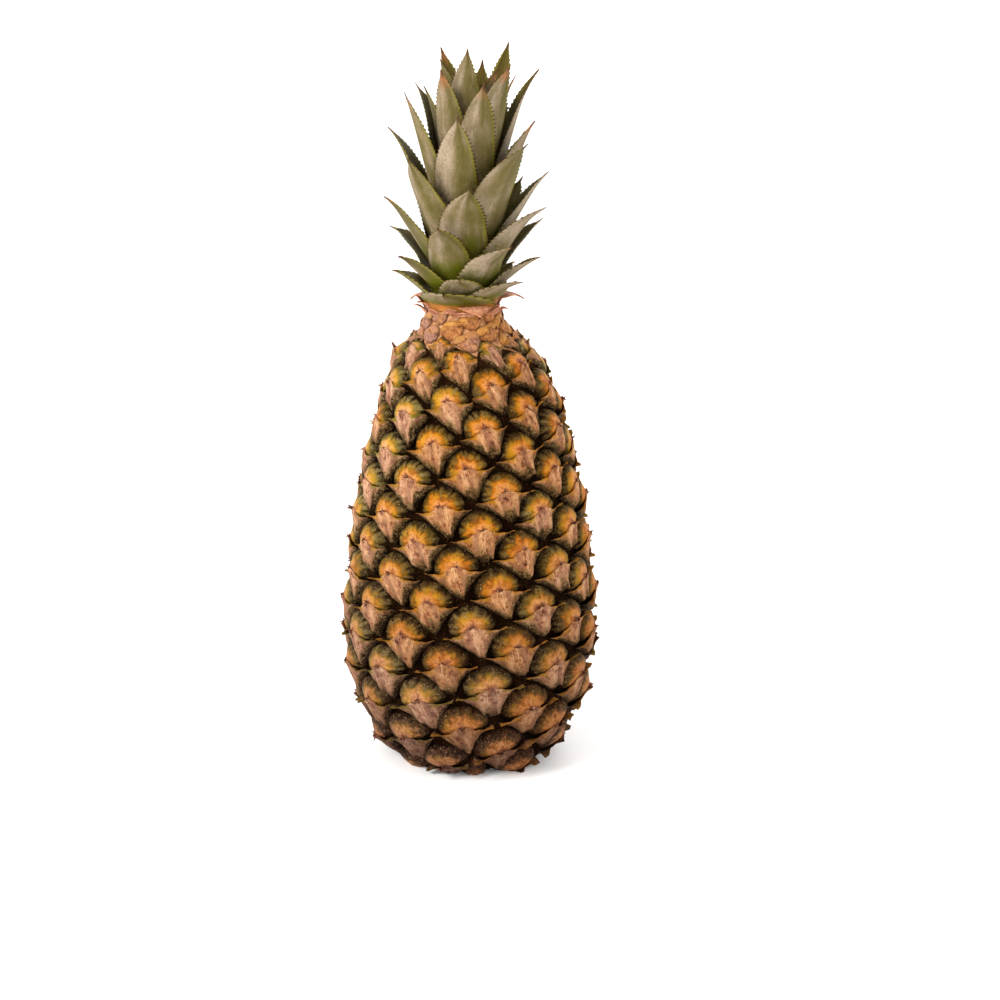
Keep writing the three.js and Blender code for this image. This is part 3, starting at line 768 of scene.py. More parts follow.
def frill_mesh():
    """The small dry bracts that the crown stands on. Each is a curled triangle: its foot lies along the top
    of the neck, and its midline leans out by an angle that grows from the foot to the point."""
    dice = np.random.default_rng(FRILL_SEED).random((FRILL_COUNT, 5))[:, :, None, None]
    number = -np.arange(FRILL_COUNT)[:, None, None]
    s = np.linspace(0, 1, FRILL_ROWS)[None, :, None]
    t = np.linspace(-1, 1, FRILL_COLS)[None, None, :]
    length = 3 + 3 * dice[:, 0]
    lean = np.radians(8 + 20 * dice[:, 1] + (30 + 90 * dice[:, 2]) * s)
    step = length / (FRILL_ROWS - 1)
    height = FRUIT_HEIGHT - 0.6 + 0.14 * number + np.cumsum(step * np.cos(lean), axis=1)
    radius = FRILL_RADIUS - 0.04 * number + np.cumsum(step * np.sin(lean), axis=1) - 0.25 * np.abs(t) ** 2
    width = (3.2 + 1.6 * dice[:, 3]) * (1 - s**1.7) + 0.12
    uneven = 1 + 0.12 * np.sin(23 * s + 9 * dice[:, 4]) * np.abs(t) ** 4
    turn = np.radians(FRONT_LEAF_AZIMUTH - GOLDEN_ANGLE * (number - FRONT_LEAF))
    angle = turn + t * width * uneven / radius + 0.12 * (dice[:, 4] - 0.5) * s
    sheets = []
    for depth in (0, FRILL_THICKNESS):
        ring = radius - depth * np.cos(lean)
        level = height + depth * np.sin(lean) + 0 * t
        sheets.append(np.stack([ring * np.sin(angle) + NECK_SHIFT, -ring * np.cos(angle), level], -1))
    points = np.stack(sheets, 1)
    starts = np.arange(FRILL_COUNT)[:, None, None] * 2 * FRILL_ROWS * FRILL_COLS
    faces = (starts + sheet_quads(FRILL_ROWS, FRILL_COLS)[:, ::-1]).reshape(-1, 4)
    place = both_sides(t / 2 + 0.5 + 0 * s + 0 * number, s * length / 100 + dice[:, 4])
    return points.reshape(-1, 3), faces.tolist(), place[faces.ravel()]


# ---------------------------------------------------------------- materials
def srgb(red, green, blue):
    """A colour given as 0 to 255 on a screen, as the linear light that the shaders take."""
    c = np.array([red, green, blue]) / 255
    linear = np.where(c <= 0.04045, c / 12.92, ((c + 0.055) / 1.055) ** 2.4)
    return (*linear.tolist(), 1.0)


GREEN_SHADE = (0.79, 0.76, 0.75, 1)  # what the fruit's colours are multiplied by where it is less ripe
RIPE_SHADE = (0.74, 0.645, 0.53, 1)  # and where it is ripe


class Recipe:
    """A material, built as a list of steps. Each step adds one shader node or a few and gives the output
    socket. Noises lie round a half, and those on place() have their scale in waves per metre."""

    def __init__(self, name):
        self.material = bpy.data.materials.new(name)
        self.material.use_nodes = True
        self.tree = self.material.node_tree
        self.tree.nodes.clear()

    def node(self, kind, inputs=None, **settings):
        """A shader node with these settings, its inputs fed with numbers, colours or other nodes' outputs."""
        made = self.tree.nodes.new("ShaderNode" + kind)
        for key, value in settings.items():
            setattr(made, key, value)
        for key, value in (inputs or {}).items():
            self.feed(made.inputs[key], value)
        return made

    def feed(self, socket, value):
        """Gives an input another node's output, or a number or colour that stays."""
        if isinstance(value, bpy.types.NodeSocket):
            self.tree.links.new(value, socket)
        else:
            socket.default_value = value

    def place(self):
        """The point itself, in metres."""
        return self.node("TexCoord").outputs["Object"]

    def height(self):
        """How high the point lies, in metres."""
        return self.node("SeparateXYZ", {0: self.place()}).outputs[2]

    def map(self, name):
        """The point's place on the piece's own map."""
        return self.node("UVMap", uv_map=name).outputs["UV"]

    def map_parts(self, name):
        """How far across and down the piece's own map the point lies."""
        split = self.node("SeparateXYZ", {0: self.map(name)})
        return split.outputs[0], split.outputs[1]

    def value(self, name):
        """A number that the mesh holds for each point."""
        return self.node("Attribute", attribute_name=name).outputs["Fac"]

    def vector(self, name):
        """Three numbers that the mesh holds for each point, as a vector."""
        return self.node("Attribute", attribute_name=name).outputs["Vector"]

    def values(self, name):
        """Three numbers that the mesh holds for each point, one by one."""
        split = self.node("SeparateXYZ", {0: self.vector(name)})
        return split.outputs[0], split.outputs[1], split.outputs[2]

    def sum(self, a, b):
        """a plus b."""
        return self.node("Math", {0: a, 1: b}, operation="ADD").outputs[0]

    def less(self, a, b):
        """a minus b."""
        return self.node("Math", {0: a, 1: b}, operation="SUBTRACT").outputs[0]

    def times(self, a, b):
        """a times b."""
        return self.node("Math", {0: a, 1: b}, operation="MULTIPLY").outputs[0]

    def size(self, a):
        """a without its sign."""
        return self.node("Math", {0: a}, operation="ABSOLUTE").outputs[0]

    def rise(self, value, low, high):
        """0 where value is at low and 1 where it is at high, with an S-curve between."""
        limits = {"Value": value, "From Min": low, "From Max": high}
        return self.node("MapRange", limits, interpolation_type="SMOOTHSTEP").outputs["Result"]

    def fall(self, value, low, high):
        """1 where value is at low and 0 where it is at high, with an S-curve between."""
        return self.less(1.0, self.rise(value, low, high))

    def noise(self, vector, scale, detail=3.0, roughness=0.55):
        """A cloudy noise at the vector. Detail adds finer clouds, and roughness makes them stronger."""
        wanted = {"Vector": vector, "Scale": scale, "Detail": detail, "Roughness": roughness}
        return self.node("TexNoise", wanted).outputs["Fac"]

    def ragged(self, value, noise, amount):
        """The value, made more or less by a noise, by up to half the amount each way."""
        return self.sum(value, self.times(self.less(noise, 0.5), amount))

    def stretch(self, vector, x, y, z):
        """The vector with each part multiplied by its own number, which packs a noise closer that way."""
        return self.node("Mapping", {"Vector": vector, "Scale": (x, y, z)}).outputs["Vector"]

    def point(self, x=0.0, z=0.0):
        """A point from its parts, with 0 for y."""
        return self.node("CombineXYZ", {0: x, 1: 0.0, 2: z}).outputs[0]

    def moved(self, vector, by):
        """The vector plus another one."""
        return self.node("VectorMath", {0: vector, 1: by}, operation="ADD").outputs[0]

    def ramp(self, factor, stops):
        """A colour for each factor, from (place, colour) stops."""
        made = self.node("ValToRGB", {"Fac": factor})
        elements = made.color_ramp.elements
        while len(elements) < len(stops):
            elements.new(0.5)
        for element, (place, colour) in zip(elements, stops):
            element.position = place
            element.color = colour
        return made.outputs["Color"]

    def blend(self, factor, a, b, kind="MIX"):
        """Colour a where factor is 0 and colour b where it is 1."""
        made = self.node("Mix", data_type="RGBA", blend_type=kind)
        self.feed(made.inputs[0], factor)
        self.feed(made.inputs[6], a)
        self.feed(made.inputs[7], b)
        return made.outputs[2]

    def coat(self, colour, mask, share, paint):
        """The colour with paint over it where mask is 1, covering it by this share."""
        return self.blend(self.times(mask, share), colour, paint)

    def deepen(self, ripe, colour):
        """The colour, a little darker, and warmer on the ripe side."""
        shade = self.blend(self.rise(ripe, 0.3, 0.75), GREEN_SHADE, RIPE_SHADE)
        return self.blend(1.0, colour, shade, "MULTIPLY")

    def bump(self, height, distance):
        """Normals for a relief that stands this many metres higher where height is 1 than where it is 0."""
        wanted = {"Height": height, "Distance": distance, "Strength": 1.0}
        return self.node("Bump", wanted).outputs["Normal"]

    def finish(self, colour, roughness, normal, shine, glow=0.0):
        """Gives the material its surface. Shine is how much light that mirrors, and glow how much it gives
        off, in white."""
        wanted = {"Base Color": colour, "Roughness": roughness, "Normal": normal, "Emission Strength": glow}
        shader = self.node("BsdfPrincipled", wanted)
        shader.inputs["Emission Color"].default_value = (1, 1, 1, 1)
        shader.inputs["Specular IOR Level"].default_value = shine
        output = self.node("OutputMaterial")
        self.tree.links.new(shader.outputs[0], output.inputs["Surface"])
        return self.material


# Colours of an eye from its flower out to the furrow, where it is ripe and where it is not. The last
# stops darken towards the furrow: partly the rim's own dark olive, partly painted shade.
RIPE_EYE = [
    (0.0, srgb(92, 46, 30)), (0.12, srgb(168, 104, 66)), (0.25, srgb(212, 154, 94)),
    (0.38, srgb(204, 138, 44)), (0.52, srgb(168, 110, 18)), (0.62, srgb(106, 84, 18)),
    (0.78, srgb(62, 46, 14)), (0.94, srgb(30, 16, 3)),
]
GREEN_EYE = [
    (0.0, srgb(96, 58, 42)), (0.12, srgb(172, 118, 82)), (0.25, srgb(210, 162, 108)),
    (0.38, srgb(200, 152, 68)), (0.5, srgb(158, 124, 40)), (0.61, srgb(112, 98, 38)),
    (0.78, srgb(70, 60, 26)), (0.94, srgb(34, 20, 5)),
]
NECK_LUMP = [(0.36, srgb(138, 90, 56)), (0.48, srgb(178, 130, 78)), (0.62, srgb(204, 162, 100))]


def eye_flesh(m, where, rho, ripe, streaks, blotch, patch):
    """The eye's own colours, with peach rays round the flower, blots of rust and a patchy yellow ring."""
    colour = m.blend(m.rise(ripe, 0.2, 0.75), m.ramp(where, GREEN_EYE), m.ramp(where, RIPE_EYE))
    peach = m.times(m.rise(m.sum(streaks, m.times(patch, 0.6)), 0.78, 0.98), m.fall(where, 0.3, 0.6))
    colour = m.coat(colour, peach, 0.55, srgb(226, 180, 136))
    rust = m.times(m.rise(blotch, 0.5, 0.62), m.fall(rho, 0.5, 0.75))
    colour = m.coat(colour, rust, 0.5, srgb(146, 80, 34))
    ring = m.times(m.rise(rho, 0.2, 0.4), m.fall(rho, 0.55, 0.85))
    return m.coat(colour, m.times(m.rise(patch, 0.5, 0.62), ring), 0.6, srgb(208, 162, 40))


def eye_frost(m, colour, where, rho, pleat, uneven, ripe, dry, cloud):
    """The colour with a grey-green frost on the pleats, thinner where the eye is ripe or withered."""
    frost = m.times(m.rise(where, 0.5, 0.68), m.fall(rho, 0.93, 0.99))
    patchy = m.rise(m.sum(cloud, m.times(uneven, 0.4)), 0.5, 0.9)
    frost = m.times(m.times(frost, m.rise(pleat, 0.45, 0.95)), patchy)
    share = m.less(m.less(0.95, m.times(ripe, 0.4)), m.times(dry, 0.4))
    return m.coat(colour, frost, share, m.blend(ripe, srgb(164, 150, 104), srgb(128, 108, 64)))


def neck_lump(m, rho, ripe, blotch, cloud):
    """The neck's lumps: ochre, pinker where they are less ripe, and brown at their edges."""
    colour = m.ramp(m.sum(m.times(cloud, 0.5), m.times(blotch, 0.5)), NECK_LUMP)
    colour = m.coat(colour, m.fall(m.ragged(ripe, blotch, 1.0), 0.15, 0.6), 0.7, srgb(172, 128, 110))
    return m.coat(colour, m.rise(m.ragged(rho, cloud, 0.3), 0.88, 1.0), 0.55, srgb(96, 56, 40))


def eye_withering(m, colour, where, rho, dry, cloud):
    """The colour gone brown towards the furrow and faded to tan round the flower, where dry is high: the
    base's real withering, and painted shade up the fruit's lower half.
    """
    clouded = m.rise(cloud, 0.35, 0.65)
    brown = m.blend(clouded, srgb(34, 19, 14), srgb(84, 56, 42))
    colour = m.coat(colour, dry, m.sum(0.45, m.times(m.rise(rho, 0.3, 0.7), 0.5)), brown)
    tan = m.blend(clouded, srgb(112, 70, 44), srgb(196, 144, 104))
    return m.coat(colour, m.times(dry, 0.75), m.fall(where, 0.4, 0.7), tan)


def eye_skin():
    """The eyes' domes: brown at the flower, blotched orange or yellow round it, then olive, then frosted
    pleats with painted shade in their creases, ending in painted shade where the dome drops into the furrow.
    The neck's are ochre, and the base's are withered brown, with painted shade up the lower half."""
    m = Recipe("eye_skin")
    rho, pleat, uneven = m.values("eye")
    # The third number of tone is withering at the base and painted shade up the fruit's lower half.
    ripe, full, dry = m.values("tone")
    rays = m.vector("rays")
    streaks = m.noise(rays, 4.2, 4.0, 0.7)
    bands = m.noise(rays, 1.3, 2.0, 0.5)
    blotch = m.noise(m.place(), 300.0, 3.0, 0.6)
    patch = m.noise(m.place(), 170.0, 3.0, 0.6)
    cloud = m.noise(m.place(), 620.0, 4.0, 0.65)
    flecks = m.noise(m.place(), 1300.0, 2.0, 0.6)
    grain = m.noise(m.place(), 1700.0, 3.0, 0.65)
    is_eye = m.rise(full, 0.1, 0.5)

    where = m.ragged(m.ragged(rho, streaks, 0.5), bands, 0.5)
    where = m.ragged(m.ragged(where, blotch, 0.6), patch, 0.5)
    colour = eye_flesh(m, where, rho, ripe, streaks, blotch, patch)
    colour = eye_frost(m, colour, where, rho, pleat, uneven, ripe, dry, cloud)
    colour = m.blend(is_eye, neck_lump(m, rho, ripe, blotch, cloud), colour)
    colour = eye_withering(m, colour, where, rho, dry, cloud)
    # Painted shade in the creases between the pleats, out from the middle of the eye.
    crease = m.times(m.fall(pleat, 0.1, 0.55), m.rise(rho, 0.45, 0.7))
    colour = m.coat(colour, crease, 0.55, srgb(34, 20, 5))
    # Painted shade: near black where the dome's rim drops into the furrow.
    furrow = m.times(m.rise(m.ragged(rho, cloud, 0.08), 0.9, 0.99), 0.92)
    colour = m.coat(colour, furrow, is_eye, srgb(20, 9, 2))
    colour = m.coat(colour, m.rise(grain, 0.54, 0.68), 0.4, srgb(66, 44, 24))
    fuzz = m.times(m.rise(flecks, 0.6, 0.7), m.rise(where, 0.55, 0.85))
    colour = m.coat(colour, fuzz, 0.65, srgb(186, 168, 128))
    colour = m.deepen(ripe, colour)

    height = m.sum(m.times(streaks, m.rise(rho, 0.1, 0.5)), m.times(cloud, 0.6))
    height = m.times(m.sum(height, m.times(grain, 0.35)), m.sum(0.3, m.times(full, 0.7)))
    rough = m.sum(0.5, m.times(m.rise(rho, 0.6, 0.95), 0.35))
    return m.finish(colour, rough, m.bump(height, 0.0011), shine=0.1)


def furrow_skin():
    """The rind between the eyes, nearly black, partly as its own colour and partly as painted shade down in
    the furrows, with a few pale painted glints, lighter in the shoulder, and the brown skin of the neck."""
    m = Recipe("furrow_skin")
    _, full, _ = m.values("tone")
    cloud = m.noise(m.place(), 260.0, 4.0, 0.6)
    grain = m.noise(m.place(), 1500.0, 3.0, 0.6)
    dark = m.blend(cloud, srgb(15, 6, 1), srgb(42, 24, 8))
    at_shoulder = m.blend(cloud, srgb(26, 13, 5), srgb(70, 46, 24))
    dark = m.blend(m.rise(m.height(), 0.16, 0.185), dark, at_shoulder)
    # Painted glints: a few pale flecks on the dark furrow.
    dark = m.coat(dark, m.rise(grain, 0.62, 0.7), 0.6, srgb(132, 108, 68))
    brown = m.blend(m.rise(cloud, 0.35, 0.6), srgb(128, 86, 60), srgb(184, 140, 102))
    colour = m.blend(m.rise(full, 0.1, 0.5), brown, dark)
    relief = m.sum(m.times(cloud, 0.7), m.times(grain, 0.3))
    return m.finish(colour, 0.9, m.bump(relief, 0.0006), shine=0.05)


# Colours of the bracts, from the dark of their fibres to the light: less ripe, ripe, withered, and frosted.
PINK_PAPER = [
    (0.38, srgb(88, 48, 36)), (0.43, srgb(146, 98, 76)), (0.48, srgb(192, 142, 112)),
    (0.54, srgb(216, 168, 136)), (0.63, srgb(242, 206, 176)),
]
STRAW_PAPER = [
    (0.38, srgb(84, 44, 28)), (0.43, srgb(146, 96, 64)), (0.48, srgb(190, 138, 98)),
    (0.54, srgb(214, 164, 120)), (0.63, srgb(240, 200, 158)),
]
WITHERED_PAPER = [(0.4, srgb(34, 19, 16)), (0.52, srgb(86, 60, 54)), (0.66, srgb(158, 124, 112))]
FROSTED_PAPER = [
    (0.4, srgb(34, 20, 8)), (0.48, srgb(80, 60, 32)), (0.55, srgb(124, 102, 66)),
    (0.64, srgb(184, 164, 126)),
]


def paper_relief(m, colour, fold, leg, fibres, cloud):
    """The colour with painted shade in the folds' valleys, and painted highlights on their ridges and the
    legs.
    """
    # Painted shade in the fold valleys.
    fold_shade = m.times(m.fall(fold, 0.3, 0.5), m.rise(cloud, 0.3, 0.55))
    colour = m.coat(colour, fold_shade, 0.5, srgb(124, 88, 80))
    # Painted highlight on the fold ridges.
    light = m.times(m.rise(fold, 0.55, 0.75), m.rise(fibres, 0.4, 0.6))
    colour = m.coat(colour, light, 0.6, srgb(232, 196, 160))
    # Painted highlight along the raised legs.
    return m.coat(colour, leg, 0.35, srgb(214, 176, 140))


def paper_rim(m, colour, across, down, ripe, cloud):
    """The colour with a yellow or orange rim along the wings' upper edges."""
    out = m.times(m.size(m.less(across, 0.5)), 2.0)
    lip = m.times(m.fall(m.ragged(down, cloud, 0.2), 0.1, 0.42), m.rise(out, 0.24, 0.5))
    turning = m.rise(m.sum(ripe, m.times(cloud, 0.5)), 0.5, 0.9)
    return m.coat(colour, lip, 0.85, m.blend(turning, srgb(142, 136, 30), srgb(204, 146, 40)))


def paper_skirt(m, colour, edge, cloud, grain, flecks):
    """The colour with the frosted skirt past the pale part, painted shade at its end where it goes down into
    the furrow, and pale fuzz on both.
    """
    frosted = m.ramp(m.sum(m.times(cloud, 0.6), m.times(grain, 0.4)), FROSTED_PAPER)
    colour = m.blend(m.rise(edge, 0.56, 0.7), colour, frosted)
    # Painted shade: near black at the skirt's end, where it goes down into the furrow.
    colour = m.coat(colour, m.rise(edge, 0.86, 1.02), 0.9, srgb(18, 8, 2))
    fuzz = m.times(m.rise(flecks, 0.6, 0.7), m.rise(edge, 0.45, 0.65))
    return m.coat(colour, fuzz, 0.6, srgb(186, 168, 128))


def bract_paper():
    """Dry papery bracts: pinkish tan and fibrous, with painted shade in the folds and hollows and painted
    highlights on the ridges and legs, a yellow curled rim along the wings and, past the pale part, a
    green-grey frosted skirt that ends in painted shade where it goes down into the furrow."""
    m = Recipe("bract_paper")
    across, down = m.map_parts("bract")
    fold, leg, hollow = m.values("relief")
    ripe, _, dry = m.values("tone")
    along_it = m.stretch(m.map("bract"), 40, 4.0, 1)
    fibres = m.noise(m.moved(along_it, m.point(x=m.times(ripe, 91.0))), 1.0, 5.0, 0.7)
    blotch = m.noise(m.place(), 300.0, 3.0, 0.6)
    cloud = m.noise(m.place(), 700.0, 4.0, 0.65)
    grain = m.noise(m.place(), 1900.0, 2.0, 0.6)
    flecks = m.noise(m.place(), 1300.0, 2.0, 0.6)

    tone = m.sum(m.times(fibres, 0.3), m.times(blotch, 0.4))
    tone = m.sum(tone, m.times(cloud, 0.3))
    straw = m.rise(m.ragged(ripe, blotch, 0.8), 0.3, 0.75)
    colour = m.blend(straw, m.ramp(tone, PINK_PAPER), m.ramp(tone, STRAW_PAPER))
    colour = paper_relief(m, colour, fold, leg, fibres, cloud)
    edge = m.ragged(m.ragged(down, blotch, 0.9), cloud, 0.5)
    edge = m.less(edge, m.times(m.rise(m.height(), 0.155, 0.182), 0.15))
    colour = m.coat(colour, m.rise(edge, 0.38, 0.66), 0.7, srgb(104, 82, 44))
    # Painted shade in the hollows beside the legs.
    colour = m.coat(colour, m.rise(hollow, 0.4, 1.0), 0.35, srgb(112, 80, 50))
    colour = paper_rim(m, colour, across, down, ripe, cloud)
    colour = paper_skirt(m, colour, edge, cloud, grain, flecks)
    # Withered colour where dry is high: real at the base, painted shade up the lower half.
    colour = m.coat(colour, dry, 0.8, m.ramp(tone, WITHERED_PAPER))
    colour = m.coat(colour, m.rise(grain, 0.54, 0.66), 0.35, srgb(74, 44, 28))
    colour = m.blend(0.7, colour, m.deepen(ripe, colour))
    relief = m.sum(m.sum(fibres, m.times(grain, 0.3)), m.times(cloud, 0.7))
    return m.finish(colour, 0.75, m.bump(relief, 0.0015), shine=0.1)


def scale_paper():
    """The neck's scales: pinkish tan or ochre, with purple-brown points and specks."""
    m = Recipe("scale_paper")
    _, down = m.map_parts("scale")
    ripe, _, _ = m.values("tone")
    blotch = m.noise(m.place(), 300.0, 3.0, 0.6)
    cloud = m.noise(m.place(), 700.0, 4.0, 0.65)
    fibres = m.noise(m.stretch(m.map("scale"), 16, 2, 1), 1.0, 3.0, 0.6)
    grain = m.noise(m.place(), 1500.0, 2.0, 0.6)
    tone = m.sum(m.times(cloud, 0.5), m.times(fibres, 0.5))
    pink = m.ramp(tone, [(0.36, srgb(108, 70, 60)), (0.48, srgb(150, 110, 92)), (0.62, srgb(184, 146, 124))])
    ochre = m.ramp(tone, [(0.36, srgb(112, 68, 44)), (0.48, srgb(166, 114, 70)), (0.62, srgb(202, 154, 102))])
    colour = m.blend(m.rise(m.ragged(ripe, blotch, 1.0), 0.3, 0.6), pink, ochre)
    colour = m.coat(colour, m.fall(m.ragged(down, cloud, 0.5), 0.0, 0.18), 0.45, srgb(128, 86, 72))
    colour = m.coat(colour, m.rise(m.ragged(down, cloud, 0.4), 0.75, 1.0), 0.6, srgb(124, 84, 60))
    colour = m.coat(colour, m.rise(grain, 0.56, 0.68), 0.4, srgb(96, 62, 54))
    colour = m.deepen(ripe, colour)
    relief = m.sum(m.times(fibres, 0.8), m.times(cloud, 0.5))
    return m.finish(colour, 0.7, m.bump(relief, 0.0008), shine=0.25)


def withered_flower():
    """The tufts in the middle of the eyes: dry and dark brown, with tan tips."""
    m = Recipe("withered_flower")
    cloud = m.noise(m.place(), 900.0, 3.0, 0.6)
    colour = m.ramp(cloud, [(0.3, srgb(54, 32, 24)), (0.55, srgb(108, 70, 54)), (0.72, srgb(178, 132, 104))])
    return m.finish(colour, 0.8, m.bump(cloud, 0.0006), shine=0.2)


# Colours of a leaf's outer face, from bare green to thick silvery scurf.
LEAF_SCURF = [
    (0.3, srgb(86, 78, 34)), (0.4, srgb(102, 92, 54)), (0.52, srgb(128, 114, 88)),
    (0.64, srgb(156, 140, 120)),
]


def leaf_outside(m, across, out, far, rank, veins, bands, cloud, dust):
    """The outer face: olive under bands of silvery scurf, with painted light as more scurf on the left half
    and painted shade as less on the right, greener low down and along the margins, and tan at the foot of
    the lowest leaves."""
    # Painted light and shade: the left half, seen from outside, gets more pale scurf and the right half more
    # dark olive.
    side = m.rise(m.ragged(across, bands, 0.6), 0.35, 0.7)
    cover = m.ragged(m.sum(m.times(bands, 0.5), m.times(cloud, 0.5)), veins, 0.12)
    cover = m.less(cover, m.times(m.less(side, 0.4), 0.15))
    colour = m.coat(m.ramp(cover, LEAF_SCURF), m.rise(dust, 0.5, 0.65), 0.25, srgb(98, 88, 54))
    low = m.times(m.fall(m.ragged(far, cloud, 0.5), 0.16, 0.52), m.fall(rank, 0.35, 0.7))
    colour = m.coat(colour, low, 0.9, srgb(92, 96, 8))
    foot = m.times(m.fall(m.ragged(far, dust, 0.2), 0.14, 0.3), m.fall(rank, 0.1, 0.2))
    colour = m.coat(colour, foot, 0.9, srgb(168, 110, 58))
    margin = m.rise(m.ragged(out, cloud, 0.4), 0.84, 1.0)
    margin = m.times(margin, m.rise(m.ragged(side, bands, 2.0), 0.1, 0.9))
    return m.coat(colour, margin, 0.7, srgb(124, 120, 36))


def leaf_ends(m, colour, far, rank, tooth, cloud, specks):
    """The colour with a dried tip on some leaves, a brown point on all, dark specks and brown teeth."""
    own = m.noise(m.point(x=m.times(rank, 91.0)), 3.0, 0.0, 0.5)
    spent = m.times(m.rise(m.ragged(far, cloud, 0.14), 0.88, 0.96), m.rise(own, 0.4, 0.6))
    colour = m.coat(colour, spent, 0.75, srgb(158, 106, 66))
    colour = m.coat(colour, m.rise(far, 0.94, 0.985), 0.8, srgb(84, 54, 32))
    colour = m.coat(colour, m.rise(specks, 0.54, 0.64), 0.5, srgb(78, 72, 38))
    return m.blend(m.rise(tooth, 0.35, 0.75), colour, srgb(62, 36, 18))


def leaf_skin():
    """Crown leaves: olive green under a silvery scurf that lies in long bands on the outer face, greener at
    the foot and along the margins, darker inside, with brown teeth and a dried reddish point."""
    m = Recipe("leaf_skin")
    across, _ = m.map_parts("blade")
    inner, far, rank = m.values("leaf")
    out = m.times(m.size(m.less(across, 0.5)), 2.0)
    own_part = m.moved(m.map("blade"), m.point(z=m.times(rank, 200.0)))
    veins = m.noise(m.stretch(own_part, 60, 2.5, 1), 1.0, 3.0, 0.6)
    bands = m.noise(m.stretch(own_part, 1.8, 2.2, 1), 1.0, 2.0, 0.5)
    cloud = m.noise(m.stretch(own_part, 3, 9.0, 1), 1.0, 4.0, 0.6)
    dust = m.noise(m.place(), 900.0, 3.0, 0.6)
    specks = m.noise(m.place(), 2400.0, 2.0, 0.5)

    colour = leaf_outside(m, across, out, far, rank, veins, bands, cloud, dust)
    inside = m.blend(m.rise(veins, 0.4, 0.65), srgb(58, 46, 6), srgb(102, 90, 20))
    inside = m.coat(inside, m.rise(out, 0.7, 0.95), 0.6, srgb(122, 116, 32))
    colour = m.coat(colour, inner, 0.9, inside)
    colour = leaf_ends(m, colour, far, rank, m.value("tooth"), cloud, specks)
    relief = m.sum(m.times(veins, 0.7), m.times(dust, 0.3))
    return m.finish(colour, 0.55, m.bump(relief, 0.0004), shine=0.12)


def dry_leaf_skin():
    """The curled bracts under the crown: dry, veined and reddish tan."""
    m = Recipe("dry_leaf_skin")
    veins = m.noise(m.stretch(m.map("blade"), 40, 4.0, 1), 1.0, 3.0, 0.6)
    cloud = m.noise(m.place(), 300.0, 3.0, 0.6)
    colour = m.ramp(m.sum(m.times(veins, 0.5), m.times(cloud, 0.5)), [
        (0.35, srgb(112, 68, 48)), (0.5, srgb(172, 116, 86)), (0.65, srgb(214, 166, 134)),
    ])
    return m.finish(colour, 0.7, m.bump(veins, 0.0004), shine=0.25)


def stem_fibre():
    """The crown's stem: brown fibres that run up it."""
    m = Recipe("stem_fibre")
    fibres = m.noise(m.stretch(m.place(), 1, 1, 0.15), 900.0, 3.0, 0.6)
    colour = m.ramp(fibres, [(0.35, srgb(96, 54, 36)), (0.65, srgb(172, 118, 86))])
    return m.finish(colour, 0.75, m.bump(fibres, 0.0004), shine=0.25)


def floor_paint():
    """Matt white studio paint, which glows a little up the wall, where less light falls."""
    m = Recipe("floor_paint")
    cloud = m.noise(m.place(), 3.0, 2.0, 0.5)
    colour = m.blend(cloud, (0.88, 0.88, 0.88, 1), (0.9, 0.9, 0.9, 1))
    glow = m.times(m.rise(m.height(), 0.0, 0.2), 0.75)
    return m.finish(colour, 0.85, m.bump(cloud, 0.0001), shine=0.1, glow=glow)


# ---------------------------------------------------------------- the pieces
RIND_STEPS = 14  # quads along each side of a cell
# How ripe, full and dry the rind is in the middle of the neck's top and of the base.
NECK_END_TONE = [0, 0, 1]
BASE_END_TONE = [0, 1, 1]
# Eyes lower than this have no bract, or no flower left.
LOWEST_BRACT = 1.5
LOWEST_FLOWER = 4


def make_rind():
    """The skin between the eyes, with the neck's top and the base."""
    points, faces, tone = rind_mesh(RIND_STEPS)
    points, faces = close_ends(points, faces)
    tone = np.concatenate([tone, [NECK_END_TONE, BASE_END_TONE]])
    rind = make_piece("rind", points, faces, furrow_skin(), values=[("tone", tone)])
    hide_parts("fruit")


def make_eyes(skin, name, cells, rings, spokes, pleats):
    """One piece with the domes of these cells."""
    points, faces, facts, rays, tone = domes_mesh(cells, rings, spokes, pleats)
    make_piece(name, points, faces, skin, values=[("eye", facts), ("rays", rays), ("tone", tone)])


def make_bracts(paper, name, cells):
    """One piece with the bracts of these cells."""
    points, faces, places, relief, tone = bracts_mesh(cells[CELL_Z[cells] > LOWEST_BRACT])
    make_piece(
        name, points, faces, paper, [("bract", places)], [("relief", relief), ("tone", tone)],
    )


def make_fruit():
    """The rind and all that stands on it. The full eyes and their bracts are two pieces each, which keeps
    every piece light. Cells are counted down from the neck, so the pieces called lower, which have the lower
    numbers, cover the upper half of the fruit."""
    make_rind()
    skin, paper = eye_skin(), bract_paper()
    low_numbers, high_numbers = np.array_split(FULL_EYES, 2)
    make_eyes(skin, "lower_eyes", low_numbers, EYE_RINGS, EYE_SPOKES, EYE_PLEATS)
    make_eyes(skin, "upper_eyes", high_numbers, EYE_RINGS, EYE_SPOKES, EYE_PLEATS)
    make_eyes(skin, "neck_eyes", NECK_EYES, NECK_RINGS, NECK_SPOKES, NECK_PLEATS)
    make_bracts(paper, "lower_bracts", low_numbers)
    make_bracts(paper, "upper_bracts", high_numbers)
    points, faces, places, tone = scales_mesh(NECK_EYES)
    make_piece(
        "neck_scales", points, faces, scale_paper(), [("scale", places)], [("tone", tone)],
    )
    points, faces = flowers_mesh(FULL_EYES[CELL_Z[FULL_EYES] > LOWEST_FLOWER])
    make_piece("withered_flowers", points, faces, withered_flower())


